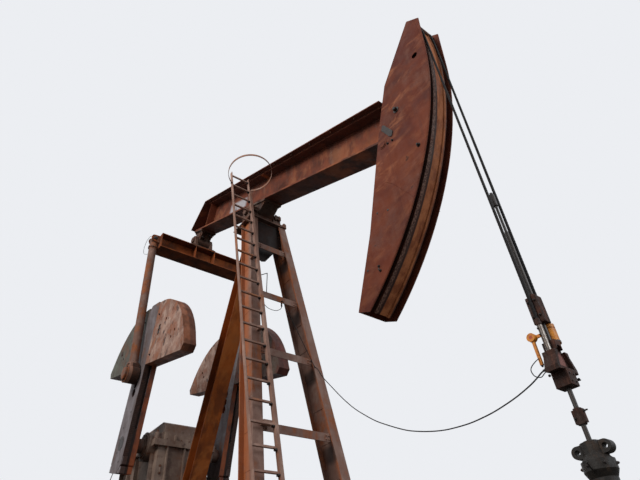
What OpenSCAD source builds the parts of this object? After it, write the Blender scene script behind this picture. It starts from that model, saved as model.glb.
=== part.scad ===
// Crank-balanced beam pumping unit, resting at the bottom of its stroke.
// X points to the well, Y across the unit, Z up. The origin is on the ground below the saddle bearing.

/* [Geometry of the linkage] */
// Height of the saddle bearing above the ground
bearing_z = 7400; // [7000:10:8200]
// Saddle bearing to the centre of the bridle cables
head_reach = 4620; // [4500:5:4700]
// Saddle bearing to tail bearing
tail_reach = 3080; // [2950:5:3200]
// Tilt of the beam at rest, horsehead down
beam_tilt = 24.08; // [20:0.01:26]
// Crankshaft behind the saddle bearing
shaft_back = 2970; // [2900:5:3050]
// Crankshaft below the saddle bearing
shaft_drop = 3709; // [3650:1:3800]
// Crankshaft to the wrist pins
crank_throw = 1200; // [1150:5:1250]
// Forward lean of the cranks at rest
crank_lean = 14; // [8:0.5:20]

/* [Foundation and skid] */
// Height of the concrete foundation
found_h = 1000; // [700:10:1150]
// Half width of the foundation between the cranks
found_half = 650; // [600:10:680]
// Half width of its front block
found_front_half = 1200; // [1150:10:1400]
// Length of the front block
found_front_len = 1000; // [900:10:1200]
// Rear end of the foundation, behind the saddle bearing
found_back = 6500; // [6400:10:7000]
// Depth of the skid beams
skid_h = 450; // [400:10:500]
// Flange width of the skid beams
skid_b = 200; // [180:10:220]
// Flange thickness of the skid beams
skid_tf = 22; // [18:1:26]
// Web thickness of the skid beams
skid_tw = 14; // [12:1:18]
// Centre of each skid rail from the middle
rail_y = 430; // [410:5:450]
// Length of the front cross beam
front_beam_len = 2100; // [2050:10:2300]

/* [Samson post] */
// Half spacing of the front legs at the top
leg_top_y = 316.7; // [312:0.1:330]
// Front legs ahead of the saddle bearing at the top
leg_top_x = 121.1; // [115:0.1:140]
// Forward run of the front legs for each unit of drop
leg_run = 0.1693; // [0.15:0.001:0.18]
// Outward run of the front legs for each unit of drop
leg_splay = 0.0752; // [0.07:0.0005:0.08]
// Flange width of the front leg section
leg_w = 155; // [145:5:180]
// Depth of the front leg section
leg_d = 350; // [330:5:365]
// Front face of the front legs from their line
leg_front = 120; // [110:5:130]
// Rear leg behind the saddle bearing at the top
rear_top_x = 200; // [190:0.1:210]
// Backward run of the rear leg for each unit of drop
rear_run = 0.4623; // [0.45:0.001:0.475]
// Width and depth of the rear leg section
rear_w = 290; // [280:5:300]
// Flange and web thickness of the legs
leg_t = 20; // [16:1:24]
// Top of the post below the saddle bearing
post_drop = 280; // [270:5:300]
// Levels of the leg braces below the saddle bearing
brace_drops = [1020, 2206, 3326, 4520];

/* [Ladder] */
// Rung spacing
rung_pitch = 304.8; // [280:0.1:320]
// Number of rungs
rungs = 22; // [18:1:23]
// Clear width between the ladder rails
ladder_w = 364; // [340:1:400]
// Inner ladder rail from the middle
ladder_y = 462; // [455:1:480]
// Ladder rungs ahead of the centre of the front legs
ladder_off = 235; // [225:1:260]
// Top rung above the saddle bearing
ladder_top = 570; // [500:5:600]
// Radius of the safety hoop
hoop_r = 415; // [405:5:425]
// Drop of the safety hoop below the top rung
hoop_drop = 230; // [220:5:240]

/* [Walking beam] */
// Underside of the beam above the saddle bearing
beam_under = 290; // [280:1:300]
// Depth of the beam
beam_h = 690; // [660:5:720]
// Flange width of the beam
beam_b = 392; // [380:2:400]
// Flange thickness of the beam
beam_tf = 34; // [28:1:40]
// Web thickness of the beam
beam_tw = 22; // [18:1:26]
// Front end of the beam behind the bridle cables
beam_setback = 670; // [620:10:720]
// Rear end of the bottom flange behind the tail bearing
beam_tail = 190; // [185:5:250]
// Slant of the beam's rear end, from the bottom flange to the top one
beam_cut = 440; // [370:10:470]
// Width of the cover plate
cover_b = 590; // [560:5:600]
// Thickness of the cover plate
cover_t = 18; // [14:1:22]

/* [Horsehead] */
// Outside width over the side plates
head_w = 454; // [450:2:470]
// Thickness of the side plates
head_t = 14; // [12:1:16]
// Angle of the head's tip above the beam line
head_up = 29.4; // [28.5:0.1:30]
// Angle of the head's foot below the beam line
head_down = 28.8; // [28:0.1:30]
// Diameter of the bridle cables
cable_d = 32; // [28:1:35]
// Half spacing of the two bridle cables on the head
cable_y = 112; // [108:1:116]
// Half spacing of the two bridle cables at the carrier
cable_low_y = 75; // [73:1:80]

/* [Cranks and counterweights] */
// Outboard face of the cranks from the middle
crank_face_y = 1065; // [1050:1:1075]
// Thickness of the cranks and of the weights
crank_t = 230; // [210:2:250]
// Width of the cranks
crank_w = 535; // [520:5:550]
// Crankshaft to the crank's tip
crank_tip = 2660; // [2600:5:2700]
// Crankshaft to the crank's hub end
crank_hub = 490; // [450:5:500]
// Diameter of the wrist pin holes
wrist_hole_d = 150; // [140:1:160]
// Other wrist pin holes from the crankshaft
spare_throws = [889, 1041];
// Crankshaft to the straight edge of the weights
weight_from = 1385; // [1380:1:1400]
// Reach of the weights out from the crank's middle line
weight_reach = 1985; // [1900:5:2000]
// Diameter of the crankshaft
shaft_d = 250; // [230:2:260]

/* [Pitmans and equalizer] */
// Centre of each pitman from the middle
pitman_y = 1188; // [1184:1:1200]
// Outside diameter of the pitman tubes
pitman_d = 172; // [160:1:176]
// Equalizer centre below the tail bearing
equalizer_drop = 465; // [455:1:480]
// Depth of the equalizer
equalizer_h = 390; // [380:2:400]
// Flange width of the equalizer
equalizer_b = 384; // [370:2:400]
// Half length of the equalizer
equalizer_half = 1075; // [1060:5:1080]
// Diameter of the tail and saddle bearing shafts
bearing_d = 150; // [130:2:160]
// Wrist bearing outside diameter
wrist_d = 330; // [300:2:340]

/* [Carrier and well] */
// Underside of the carrier bar below the saddle bearing
carrier_drop = 5270; // [5260:5:5300]
// Diameter of the polished rod
rod_d = 38; // [32:1:38]
// Top of the stuffing box below the carrier bar's underside
box_gap = 430; // [420:5:490]
// Outside diameter of the stuffing box
box_d = 170; // [150:2:190]
// Diameter of the casing head
casing_d = 340; // [300:5:360]
// Bore of the tee's outlet to the flow line
outlet_d = 62; // [50:1:78]
// Diameter of the signal cable
signal_d = 12; // [10:1:14]

/* [Hidden] */
$fn = 48;

// Seats: a turning fit, a shaft in the bore it is keyed to, and a part that lies against its neighbour
run_fit = 0.05;
seat = 0.3;
skid_z = found_h;
skid_top = found_h + skid_h;
shaft_z = bearing_z - shaft_drop;
post_top = bearing_z - post_drop;
tail_x = -tail_reach * cos(beam_tilt);
tail_z = bearing_z + tail_reach * sin(beam_tilt);
wrist_x = -shaft_back + crank_throw * sin(crank_lean);
wrist_z = shaft_z + crank_throw * cos(crank_lean);
beam_top = beam_under + beam_h;
beam_front = head_reach - beam_setback;
beam_back_low = tail_reach + beam_tail;
beam_back_top = beam_back_low - beam_cut;
cap_t = 20;
cable_r = cable_d / 2;
track_r = head_reach - cable_r;
head_in = head_w / 2 - head_t;
crank_in_y = crank_face_y - crank_t;
wrist_gap = 6;
// Places along the front legs at a height
function leg_x(z) = leg_top_x + leg_run * (post_top - z);
function leg_y(z) = leg_top_y + leg_splay * (post_top - z);
function rear_x(z) = -rear_top_x - rear_run * (post_top - z);
// Inner face of a front leg's web at a place ahead of the saddle bearing and a height
function web_y(x, z) = leg_y(z) + leg_splay * sin(2 * atan(leg_run)) / 2 * (x - leg_x(z)) - leg_t * 0.35 - 0.05;
leg_foot_x = leg_x(skid_top);
rear_foot_x = rear_x(skid_top);
plate_t = 30;
found_front_x = leg_foot_x + 560;
front_beam_b = 400;
front_beam_x = leg_foot_x - 55;
rail_front_x = front_beam_x - front_beam_b / 2;

// An outline in X and Z, thick in Y
module across(y0, y1) {
    translate([0, y1, 0]) rotate([90, 0, 0]) linear_extrude(y1 - y0) children();
}
// A round bar along Y
module bar_y(r, y0, y1, fn = 48) {
    translate([0, y1, 0]) rotate([90, 0, 0]) cylinder(r = r, h = y1 - y0, $fn = fn);
}
// A box from its lowest to its highest corner
module box(a, b) {
    translate(a) cube(b - a);
}
// A rolled section, flanges up and down, lying along X
module section_x(x0, x1, h, b, tf, tw) {
    box([x0, -b / 2, 0], [x1, b / 2, tf]);
    box([x0, -b / 2, h - tf], [x1, b / 2, h]);
    box([x0, -tw / 2, tf], [x1, tw / 2, h - tf]);
}
// A square rolled section that hangs down from the origin, its flanges facing X
module post_section(w, t, drop) {
    for (s = [-1, 1])
        box([s * (w / 2 - t / 2) - t / 2, -w / 2, -drop], [s * (w / 2 - t / 2) + t / 2, w / 2, w]);
    box([-w / 2 + t, -t * 0.35, -drop], [w / 2 - t, t * 0.35, w]);
}
// A rolled section along a front leg, its front flange's face at leg_front
module leg_section(drop) {
    for (x = [leg_front - leg_t, leg_front - leg_d])
        box([x, -leg_w / 2, -drop], [x + leg_t, leg_w / 2, leg_w]);
    box([leg_front - leg_d + leg_t, -leg_t * 0.35, -drop], [leg_front - leg_t, leg_t * 0.35, leg_w]);
}
module on_beam() {
    translate([0, 0, bearing_z]) rotate([0, beam_tilt, 0]) children();
}
module on_crank() {
    translate([-shaft_back, 0, shaft_z]) rotate([0, crank_lean, 0]) children();
}

// The concrete block, wide only under the front legs so that the cranks swing past it
module foundation() {
    color("#a39c90") {
        box([-found_back, -found_half, 0], [found_front_x, found_half, found_h]);
        box([found_front_x - found_front_len, -found_front_half, 0],
            [found_front_x, found_front_half, found_h]);
    }
}

module skid_rail(side) {
    color("#6f5445") translate([0, side * rail_y, skid_z])
        section_x(-found_back + 250, rail_front_x, skid_h, skid_b, skid_tf, skid_tw);
}
module skid_rail_near() { skid_rail(-1); }
module skid_rail_far() { skid_rail(1); }

cross_x = [-found_back + 400, -found_back + 1500, -4450, -3300, -1500, -200];
module skid_cross_members() {
    reach = rail_y - skid_tw / 2;
    deep = skid_h - 2 * skid_tf;
    color("#6f5445") for (x = cross_x) {
        box([x - 8, -reach, skid_z + skid_tf], [x + 8, reach, skid_top - skid_tf]);
        for (z = [skid_z + skid_tf, skid_top - skid_tf - 16])
            box([x - 70, -rail_y + skid_b / 2 + 5, z], [x + 70, rail_y - skid_b / 2 - 5, z + 16]);
    }
}

module front_cross_beam() {
    half = front_beam_len / 2;
    color("#735746") {
        translate([front_beam_x, 0, skid_z]) rotate([0, 0, 90])
            section_x(-half, half, skid_h, front_beam_b, skid_tf, skid_tw);
        for (y = [-half, -leg_y(skid_top), -rail_y, rail_y, leg_y(skid_top), half])
            box([front_beam_x - front_beam_b / 2 + 10, y - (y > 0 ? 16 : 0), skid_z + skid_tf],
                [front_beam_x + front_beam_b / 2 - 10, y + (y > 0 ? 0 : 16), skid_top - skid_tf]);
    }
}

// The box frame that carries the reducer
pedestal_x0 = -shaft_back - 1500;
pedestal_x1 = rear_foot_x - 262;
pedestal_half = 480;
reducer_z = shaft_z - 860;
module reducer_pedestal() {
    color("#6f5445") {
        for (z = [skid_top, reducer_z - 25])
            box([pedestal_x0, -pedestal_half, z], [pedestal_x1, pedestal_half, z + 25]);
        for (s = [-1, 1])
            box([pedestal_x0 + 30, s * 400 - 8, skid_top], [pedestal_x1 - 30, s * 400 + 8, reducer_z]);
        for (k = [0:4]) let (x = pedestal_x0 + 40 + k * (pedestal_x1 - pedestal_x0 - 80) / 4)
            box([x - 8, -pedestal_half + 20, skid_top], [x + 8, pedestal_half - 20, reducer_z]);
    }
}

// The gear case, split level with the crankshaft
case_x0 = -shaft_back - 1420;
case_x1 = -shaft_back + 330;
case_half = 500;
flange_half = 600;
flange_t = 55;
input_x = -shaft_back - 1080;
input_dz = -60;
module shaft_bore() {
    translate([-shaft_back, 0, shaft_z]) bar_y(shaft_d / 2 + run_fit, -1000, 1000, 64);
}
module reducer_case() {
    color("#8b7667") difference() {
        union() {
            box([case_x0, -case_half, reducer_z + 40], [case_x1, case_half, shaft_z]);
            box([case_x0 - 60, -flange_half, shaft_z - flange_t], [case_x1 + 60, flange_half, shaft_z]);
            box([case_x0 - 60, -case_half - 60, reducer_z], [case_x1 + 40, case_half + 60, reducer_z + 40]);
            for (s = [-1, 1], x = [case_x0 + 120, case_x0 + 520, case_x0 + 900, case_x1 - 150])
                box([x - 14, s * case_half - (s > 0 ? 0 : 70), reducer_z + 40],
                    [x + 14, s * case_half + (s > 0 ? 70 : 0), shaft_z - flange_t]);
            for (y = [-330, 0, 330])
                box([case_x1, y - 14, reducer_z + 40], [case_x1 + 45, y + 14, shaft_z - flange_t]);
            intersection() {
                translate([-shaft_back, 0, shaft_z]) bar_y(250, -flange_half - 40, flange_half + 40, 64);
                box([case_x0, -1000, shaft_z - 400], [case_x1, 1000, shaft_z]);
            }
        }
        shaft_bore();
    }
}
module reducer_cover() {
    color("#927e6e") difference() {
        union() {
            box([case_x0 - 60, -flange_half, shaft_z], [case_x1 + 60, flange_half, shaft_z + flange_t]);
            across(-395, 395) polygon([[case_x0 + 60, shaft_z + flange_t], [case_x0 + 160, shaft_z + 250],
                [-shaft_back - 520, shaft_z + 430], [-shaft_back + 180, shaft_z + 430],
                [case_x1 - 40, shaft_z + 370], [case_x1 + 20, shaft_z + flange_t]]);
            for (s = [-1, 1])
                translate([case_x0 + 60, 0, shaft_z + flange_t]) rotate([90, 0, 90])
                    linear_extrude(case_x1 - case_x0 - 100)
                        polygon([[s * 395, 0], [s * 560, 0], [s * 560, 30], [s * 395, 190]]);
            intersection() {
                translate([-shaft_back, 0, shaft_z]) bar_y(250, -flange_half - 40, flange_half + 40, 64);
                box([case_x0, -1000, shaft_z], [case_x1, 1000, shaft_z + 400]);
            }
            translate([input_x, 0, shaft_z + flange_t]) cylinder(r = 130, h = 330);
            for (y = [-200, 200]) translate([case_x1 + 40, y, shaft_z + flange_t])
                across(-16, 16) polygon([[-60, 0], [18, 0], [18, 90], [-30, 110]]);
        }
        shaft_bore();
    }
}

// The closed cover over the belts, from the gear case's input shaft back to the motor
motor_x = -found_back + 900;
motor_z = skid_top + 560;
guard_y0 = flange_half + 12;
guard_y1 = crank_in_y - 20;
module belt_guard() {
    color("#7b5d4b") {
        across(guard_y0, guard_y1) hull() {
            translate([input_x, shaft_z + input_dz]) circle(r = 560, $fn = 48);
            translate([motor_x, motor_z]) circle(r = 260, $fn = 48);
        }
        translate([input_x, 0, shaft_z + input_dz]) bar_y(90, flange_half + seat, guard_y0 + 1);
        box([motor_x - 25, guard_y0 + 60, skid_top], [motor_x + 25, guard_y1 - 60, motor_z]);
        box([input_x - 25, case_half + 60, reducer_z], [input_x + 25, guard_y1 - 60, reducer_z + 25]);
        box([input_x - 25, guard_y0 + 60, reducer_z + 25], [input_x + 25, guard_y1 - 60, shaft_z + input_dz]);
    }
}
module motor() {
    color("#7f766b") {
        translate([motor_x, 0, motor_z]) {
            bar_y(240, -330, 330, 64);
            bar_y(255, 330, 400, 64);
            bar_y(225, -420, -330, 64);
            bar_y(38, 399, guard_y0 - seat, 32);
        }
        box([motor_x - 200, -300, motor_z - 300], [motor_x + 200, 300, motor_z - 180]);
        box([motor_x - 90, -110, motor_z + 220], [motor_x + 90, 110, motor_z + 330]);
    }
}
module motor_base() {
    color("#6f5445") {
        for (s = [-1, 1]) {
            box([motor_x + s * 300 - 60, -rail_y - 80, skid_top], [motor_x + s * 300 + 60, rail_y + 80, skid_top + 100]);
            box([motor_x - 400, s * 230 - 50, skid_top + 100], [motor_x + 400, s * 230 + 50, motor_z - 320]);
        }
        box([motor_x - 260, -340, motor_z - 320], [motor_x + 260, 340, motor_z - 300]);
    }
}
module brake_lever() {
    lever_x = -found_back + 350;
    color("#6a4a3a") {
        box([lever_x - 60, -rail_y - 60, skid_top], [lever_x + 60, -rail_y + 60, skid_top + 20]);
        across(-rail_y - 12, -rail_y + 12) polygon([[lever_x - 30, skid_top + 20], [lever_x + 30, skid_top + 20],
            [lever_x - 130, skid_top + 900], [lever_x - 165, skid_top + 900]]);
        across(-rail_y + 14, -rail_y + 24) polygon([[lever_x - 60, skid_top + 20], [lever_x + 60, skid_top + 20],
            [lever_x + 60, skid_top + 300], [lever_x - 110, skid_top + 300]]);
        translate([lever_x, 0, skid_top + 120]) bar_y(20, -rail_y - 30, -rail_y + 30, 24);
    }
}

// The three legs of the post, cut level at the top and on their feet
module front_leg(side) {
    color("#7d655a") {
        intersection() {
            translate([leg_top_x, side * leg_top_y, post_top])
                rotate([side * atan(leg_splay * cos(atan(leg_run))), -atan(leg_run), 0])
                    leg_section(post_top);
            box([-3000, -3000, skid_top + plate_t], [3000, 3000, post_top]);
        }
        box([leg_foot_x - leg_d + leg_front - 25, side * leg_y(skid_top) - 200, skid_top],
            [leg_foot_x + leg_front + 25, side * leg_y(skid_top) + 200, skid_top + plate_t]);
    }
}
module front_leg_near() { front_leg(-1); }
module front_leg_far() { front_leg(1); }
module rear_leg() {
    color("#84451f") {
        intersection() {
            translate([-rear_top_x, 0, post_top]) rotate([0, atan(rear_run), 0])
                post_section(rear_w, leg_t, post_top * 1.2);
            box([-6000, -3000, skid_top + plate_t], [3000, 3000, post_top]);
        }
        box([rear_foot_x - 240, -rail_y - 90, skid_top], [rear_foot_x + 240, rail_y + 90, skid_top + plate_t]);
    }
}
module leg_braces() {
    web = leg_t * 0.35 / cos(atan(leg_splay)) + seat;
    back = leg_front - leg_t - 9;
    color("#7d5646") for (d = brace_drops) let (z = bearing_z - d, x = leg_x(z) + back) intersection() {
        union() {
            box([x - 12, -1200, z - 57], [x, 1200, z + 57]);
            box([x - 82, -1200, z + 45], [x, 1200, z + 57]);
        }
        translate([x - 100, 0, 0]) rotate([90, 0, 90]) linear_extrude(200)
            polygon([for (p = [[-1, -60], [1, -60], [1, 60], [-1, 60]]) [p[0] * (leg_y(z + p[1]) - web), z + p[1]]]);
    }
}
// The plate on the three legs, the gusset between the front ones and two beside the rear one
module post_cap() {
    color("#6b4f42") {
        box([-rear_top_x - 195, -410, post_top], [leg_front + 150, 410, post_top + cap_t]);
        translate([160, 0, 0]) rotate([90, 0, 90]) linear_extrude(14)
            polygon([[seat - web_y(160, post_top), post_top], [seat - web_y(160, post_top - 820), post_top - 820],
                [-100, post_top - 950], [-20, post_top - 920], [130, post_top - 707],
                [web_y(160, post_top - 420) - seat, post_top - 420], [web_y(160, post_top) - seat, post_top]]);
        for (s = [-1, 1]) across(s * (rear_w / 2 + seat + 6) - 6, s * (rear_w / 2 + seat + 6) + 6)
            polygon([[-rear_top_x - 165, post_top], [-rear_top_x - 240, post_top - 200], [-rear_top_x - 180, post_top - 480], [161, post_top - 640],
                [161, post_top]]);
    }
}

// Two bearing blocks on the cap, and the shaft that the beam sits on
block_y = 265;
block_half = 85;
module saddle_bearings() {
    color("#4d3c34") for (s = [-1, 1]) difference() {
        across(s * block_y - block_half, s * block_y + block_half) difference() {
            union() {
                circle_at(0, bearing_z, 150);
                translate([-150, post_top + cap_t]) square([300, post_drop - cap_t]);
                translate([-240, post_top + cap_t]) square([480, 60]);
            }
            circle_at(0, bearing_z, bearing_d / 2 + run_fit);
        }
        for (x = [-195, 195], y = [-45, 45])
            translate([x, s * block_y + y, post_top + cap_t - 1]) cylinder(d = 34, h = 62, $fn = 24);
    }
}
module circle_at(x, z, r, fn = 64) {
    translate([x, z]) circle(r = r, $fn = fn);
}
module saddle_shaft() {
    color("#503c33") on_beam() {
        bar_y(bearing_d / 2, -block_y - block_half - 40, block_y + block_half + 40, 64);
        across(-165, 165) difference() {
            union() {
                circle_at(0, 0, 140);
                polygon([[-140, 0], [140, 0], [300, beam_under - 40], [-300, beam_under - 40]]);
            }
            circle_at(0, 0, bearing_d / 2 - 1);
        }
        box([-330, -beam_b / 2, beam_under - 40], [330, beam_b / 2, beam_under]);
    }
}

// The beam, cut on a slant at the tail
module walking_beam() {
    color("#6e4334") on_beam() {
        intersection() {
            translate([0, 0, beam_under])
                section_x(-beam_back_low, beam_front, beam_h, beam_b, beam_tf, beam_tw);
            across(-beam_b, beam_b) polygon([[-beam_back_low, beam_under], [beam_front, beam_under],
                [beam_front, beam_top], [-beam_back_top, beam_top]]);
        }
        for (x = [-beam_back_top + 180], s = [-1, 1])
            box([x - 8, s > 0 ? beam_tw / 2 : -beam_b / 2 + 12, beam_under + beam_tf],
                [x + 8, s > 0 ? beam_b / 2 - 12 : -beam_tw / 2, beam_top - beam_tf]);
    }
}
module beam_cover_plate() {
    color("#5f3a2d") on_beam() across(-cover_b / 2, cover_b / 2)
        polygon([[beam_front - 362, beam_top], [-beam_back_top, beam_top], [-beam_back_low, beam_under],
            [-beam_back_low - cover_t, beam_under], [-beam_back_top - cover_t * 1.1, beam_top + cover_t],
            [beam_front - 362, beam_top + cover_t]]);
}

// The tail bearing under the beam and the equalizer that hangs on it
tail_half = 150;
module tail_bearing() {
    color("#5b4236") on_beam() translate([-tail_reach, 0, 0]) {
        across(-tail_half, tail_half) difference() {
            union() {
                circle_at(0, 0, 145);
                polygon([[-115, 60], [115, 60], [150, beam_under - 35], [-150, beam_under - 35]]);
            }
            circle_at(0, 0, bearing_d / 2 + run_fit);
        }
        box([-185, -beam_b / 2, beam_under - 35], [260, beam_b / 2, beam_under]);
        for (y = [-125, 0, 125]) across(y - 10, y + 10)
            polygon([[150, 40], [240, beam_under - 35], [120, beam_under - 35], [120, 60]]);
    }
}
ear_gap = 6;
module equalizer_shaft() {
    top = -equalizer_drop + equalizer_h / 2;
    color("#5b4236") translate([tail_x, 0, tail_z]) {
        bar_y(bearing_d / 2, -tail_half - 110, tail_half + 110, 64);
        for (s = [-1, 1]) across(s * (tail_half + ear_gap + 35) - 35, s * (tail_half + ear_gap + 35) + 35)
            difference() {
                union() {
                    circle_at(0, 0, 125);
                    polygon([[-122, 20], [122, 20], [165, top + 30], [-165, top + 30]]);
                }
                circle_at(0, 0, bearing_d / 2 - 1);
            }
        box([-185, -300, top], [185, 300, top + 30]);
    }
}
// The equalizer ends in two ears each, with the pitman's top pin through them
ear_x = 86;
ear_t = 18;
top_pin_r = 32;
top_pin_up = 55;
module equalizer() {
    half = equalizer_half;
    color("#8a4f2a") translate([tail_x, 0, tail_z - equalizer_drop]) difference() {
        union() {
            rotate([0, 0, 90]) translate([0, 0, -equalizer_h / 2])
                section_x(-half, half, equalizer_h, equalizer_b, 20, 14);
            for (y = [-200, 290])
                box([-equalizer_b / 2 + 10, y - 7, -equalizer_h / 2 + 15],
                    [equalizer_b / 2 - 10, y + 7, equalizer_h / 2 - 15]);
            for (s = [-1, 1]) box([-equalizer_b / 2 + 10, s * (half - 11) - 11, -equalizer_h / 2 + 15],
                [equalizer_b / 2 - 10, s * (half - 11) + 11, equalizer_h / 2 - 10]);
            for (s = [-1, 1], t = [-1, 1]) translate([t * ear_x - ear_t / 2, 0, top_pin_up]) rotate([90, 0, 90])
                linear_extrude(ear_t) hull() {
                    translate([s * pitman_y, 0]) circle(r = 92, $fn = 32);
                    translate([s * (half - 6), 0]) square([10, 200], center = true);
                }
        }
        for (s = [-1, 1]) translate([-200, s * pitman_y, top_pin_up]) rotate([0, 90, 0])
            cylinder(r = top_pin_r + run_fit, h = 400, $fn = 32);
    }
}

// A pitman tube with its top eye on the equalizer's end, and the wrist bearing at its foot
pad_t = 26;
top_pin_z = tail_z - equalizer_drop + top_pin_up;
pitman_run = sqrt(pow(wrist_x - tail_x, 2) + pow(top_pin_z - wrist_z, 2));
pitman_lean = atan((wrist_x - tail_x) / (top_pin_z - wrist_z));
module on_pitman(side) {
    translate([wrist_x, side * pitman_y, wrist_z]) rotate([0, -pitman_lean, 0]) children();
}
module pitman(side) {
    foot = wrist_d / 2 + pad_t + seat;
    color("#8a6352") {
        on_pitman(side) {
            translate([0, 0, foot + 20]) cylinder(d = pitman_d, h = pitman_run - foot - 190, $fn = 64);
            translate([0, 0, foot]) cylinder(d = pitman_d * 1.35, h = 34, $fn = 64);
            translate([0, 0, pitman_run - 262]) cylinder(d = pitman_d + 36, h = 38, $fn = 64);
            translate([0, 0, pitman_run - 172]) cylinder(d1 = pitman_d, d2 = 130, h = 52);
            translate([-34, 0, pitman_run]) rotate([90, 0, 90]) linear_extrude(68) hull() {
                circle(r = 72, $fn = 32);
                translate([0, -120]) square([120, 20], center = true);
            }
        }
        translate([tail_x - ear_x - ear_t / 2 - 6, side * pitman_y, top_pin_z]) rotate([0, 90, 0])
            cylinder(r = top_pin_r, h = 2 * ear_x + ear_t + 12, $fn = 32);
    }
}
module pitman_near() { pitman(-1); }
module pitman_far() { pitman(1); }
module wrist_bearing(side) {
    inner = crank_face_y + wrist_gap;
    outer = pitman_y + 110;
    color("#74492f") translate([wrist_x, 0, wrist_z]) {
        across(side > 0 ? inner + 20 : -outer, side > 0 ? outer : -inner - 20) circle(r = wrist_d / 2, $fn = 64);
        across(side > 0 ? outer : -outer - 45, side > 0 ? outer + 45 : -outer) circle(r = wrist_d / 2 - 45, $fn = 48);
        across(side > 0 ? inner : -inner - 20, side > 0 ? inner + 20 : -inner) circle(r = wrist_hole_d / 2 - 3, $fn = 48);
    }
    color("#74492f") on_pitman(side)
        box([-wrist_d * 0.36, -88, 0], [wrist_d * 0.36, 88, wrist_d / 2 + pad_t]);
}
module wrist_bearing_near() { wrist_bearing(-1); }
module wrist_bearing_far() { wrist_bearing(1); }

// The horsehead, an arc about the saddle bearing that runs out straight to its tip
head_lip = 12;
head_back = head_reach - 920;
module head_outline() {
    r = head_reach + head_lip;
    arc = [for (k = [0:24]) let (a = -head_down + k * (head_up - 10 + head_down) / 24) [r * cos(a), r * sin(a)]];
    polygon(concat(arc, [[head_reach - 515, 2288], [head_back + 146, 2382], [head_back - 120, 1290],
        [head_back - 80, 650], [head_back, -100], [head_back + 120, -1170], [head_back + 150, -2230]]));
}
module head_plate(side) {
    color("#74402f") on_beam() {
        in = side > 0 ? head_in : -head_w / 2;
        across(in, in + head_t) difference() {
            head_outline();
            translate([head_reach - 465, 1553]) circle(r = 50, $fn = 32);
        }
    }
}
module head_plate_near() { head_plate(-1); }
module head_plate_far() { head_plate(1); }
track_deep = 92;
module head_track() {
    color("#6a3b2d") on_beam() rotate([90, 0, 0]) rotate([0, 0, -head_down])
        rotate_extrude(angle = head_up + head_down - 0.6, $fn = 240)
            polygon([[track_r - track_deep, -head_in], [track_r - 78, -head_in], [track_r - 78, -140], [track_r, -134],
                [track_r, -90], [track_r - 18, -82], [track_r - 18, 82], [track_r, 90],
                [track_r, 134], [track_r - 78, 140], [track_r - 78, head_in], [track_r - track_deep, head_in]]);
}
function rib_reach(z) = sqrt(pow(track_r - track_deep, 2) - z * z) - seat;
module head_frame() {
    color("#5c382c") on_beam() {
        across(-head_in, head_in) polygon([[head_back + 150, -2230], [head_back + 168, -2230],
            [head_back + 138, -1170], [head_back + 18, -100], [head_back, -100], [head_back + 120, -1170]]);
        across(-head_in, head_in) polygon([[head_back - 106, 1240], [head_back - 88, 1236],
            [head_back + 166, 2372], [head_back + 148, 2378]]);
        for (z = [-1700, -900]) box([head_back + 130, -head_in, z], [rib_reach(z), head_in, z + 14]);
        box([head_back - 60, -head_in, beam_top + 40], [rib_reach(beam_top + 54), head_in, beam_top + 54]);
        translate([head_back + 80, 0, beam_under - 90]) bar_y(45, -head_in, head_in, 32);
        box([head_back + 40, -150, beam_under - 60], [head_back + 120, 150, beam_under - 0.3]);
    }
}
bridle_pin_r = 30;
pin_reach = track_r - 8;
pin_up = head_up - 0.6 + asin((bridle_pin_r + seat) / pin_reach);
module bridle_pin() {
    color("#2b2420") on_beam() translate([pin_reach * cos(pin_up), 0, pin_reach * sin(pin_up)])
        bar_y(bridle_pin_r, -head_in, head_in, 32);
}
module bridle_wrap() {
    color("#1d1c1d") for (s = [-1, 1]) translate([0, s * cable_y, bearing_z]) rotate([90, 0, 0])
        rotate_extrude(angle = head_up - 0.6 - beam_tilt, $fn = 240)
            translate([head_reach + seat, 0]) circle(r = cable_r, $fn = 16);
}

// The hanging part of the bridle, the carrier and the polished rod
carrier_z = bearing_z - carrier_drop;
wing_z = carrier_z + 300;
neck_z = carrier_z + 400;
cell_h = 180;
cell_top = neck_z + seat + cell_h;
line_foot = cell_top + 30;
line_lean = atan((cable_y - cable_low_y) / (bearing_z - line_foot));
module bridle_lines() {
    color("#1d1c1d") for (s = [-1, 1]) intersection() {
        translate([head_reach + seat, s * cable_y, bearing_z]) rotate([-s * line_lean, 0, 0])
            translate([0, 0, line_foot - bearing_z - 100]) cylinder(r = cable_r, h = bearing_z - line_foot + 200, $fn = 16);
        box([head_reach - 500, -500, line_foot], [head_reach + 500, 500, bearing_z]);
    }
}
module bridle_sockets() {
    color("#4a4038") for (s = [-1, 1]) translate([head_reach, s * cable_low_y, 0]) {
        translate([0, 0, wing_z + seat]) cylinder(r = 22, h = (s > 0 ? neck_z : line_foot - 60) - wing_z - seat);
        translate([0, 0, s > 0 ? cell_top + seat : line_foot - 60]) cylinder(r1 = 25, r2 = 19, h = s > 0 ? 30 - 2 * seat : 60 - seat);
    }
}
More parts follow.
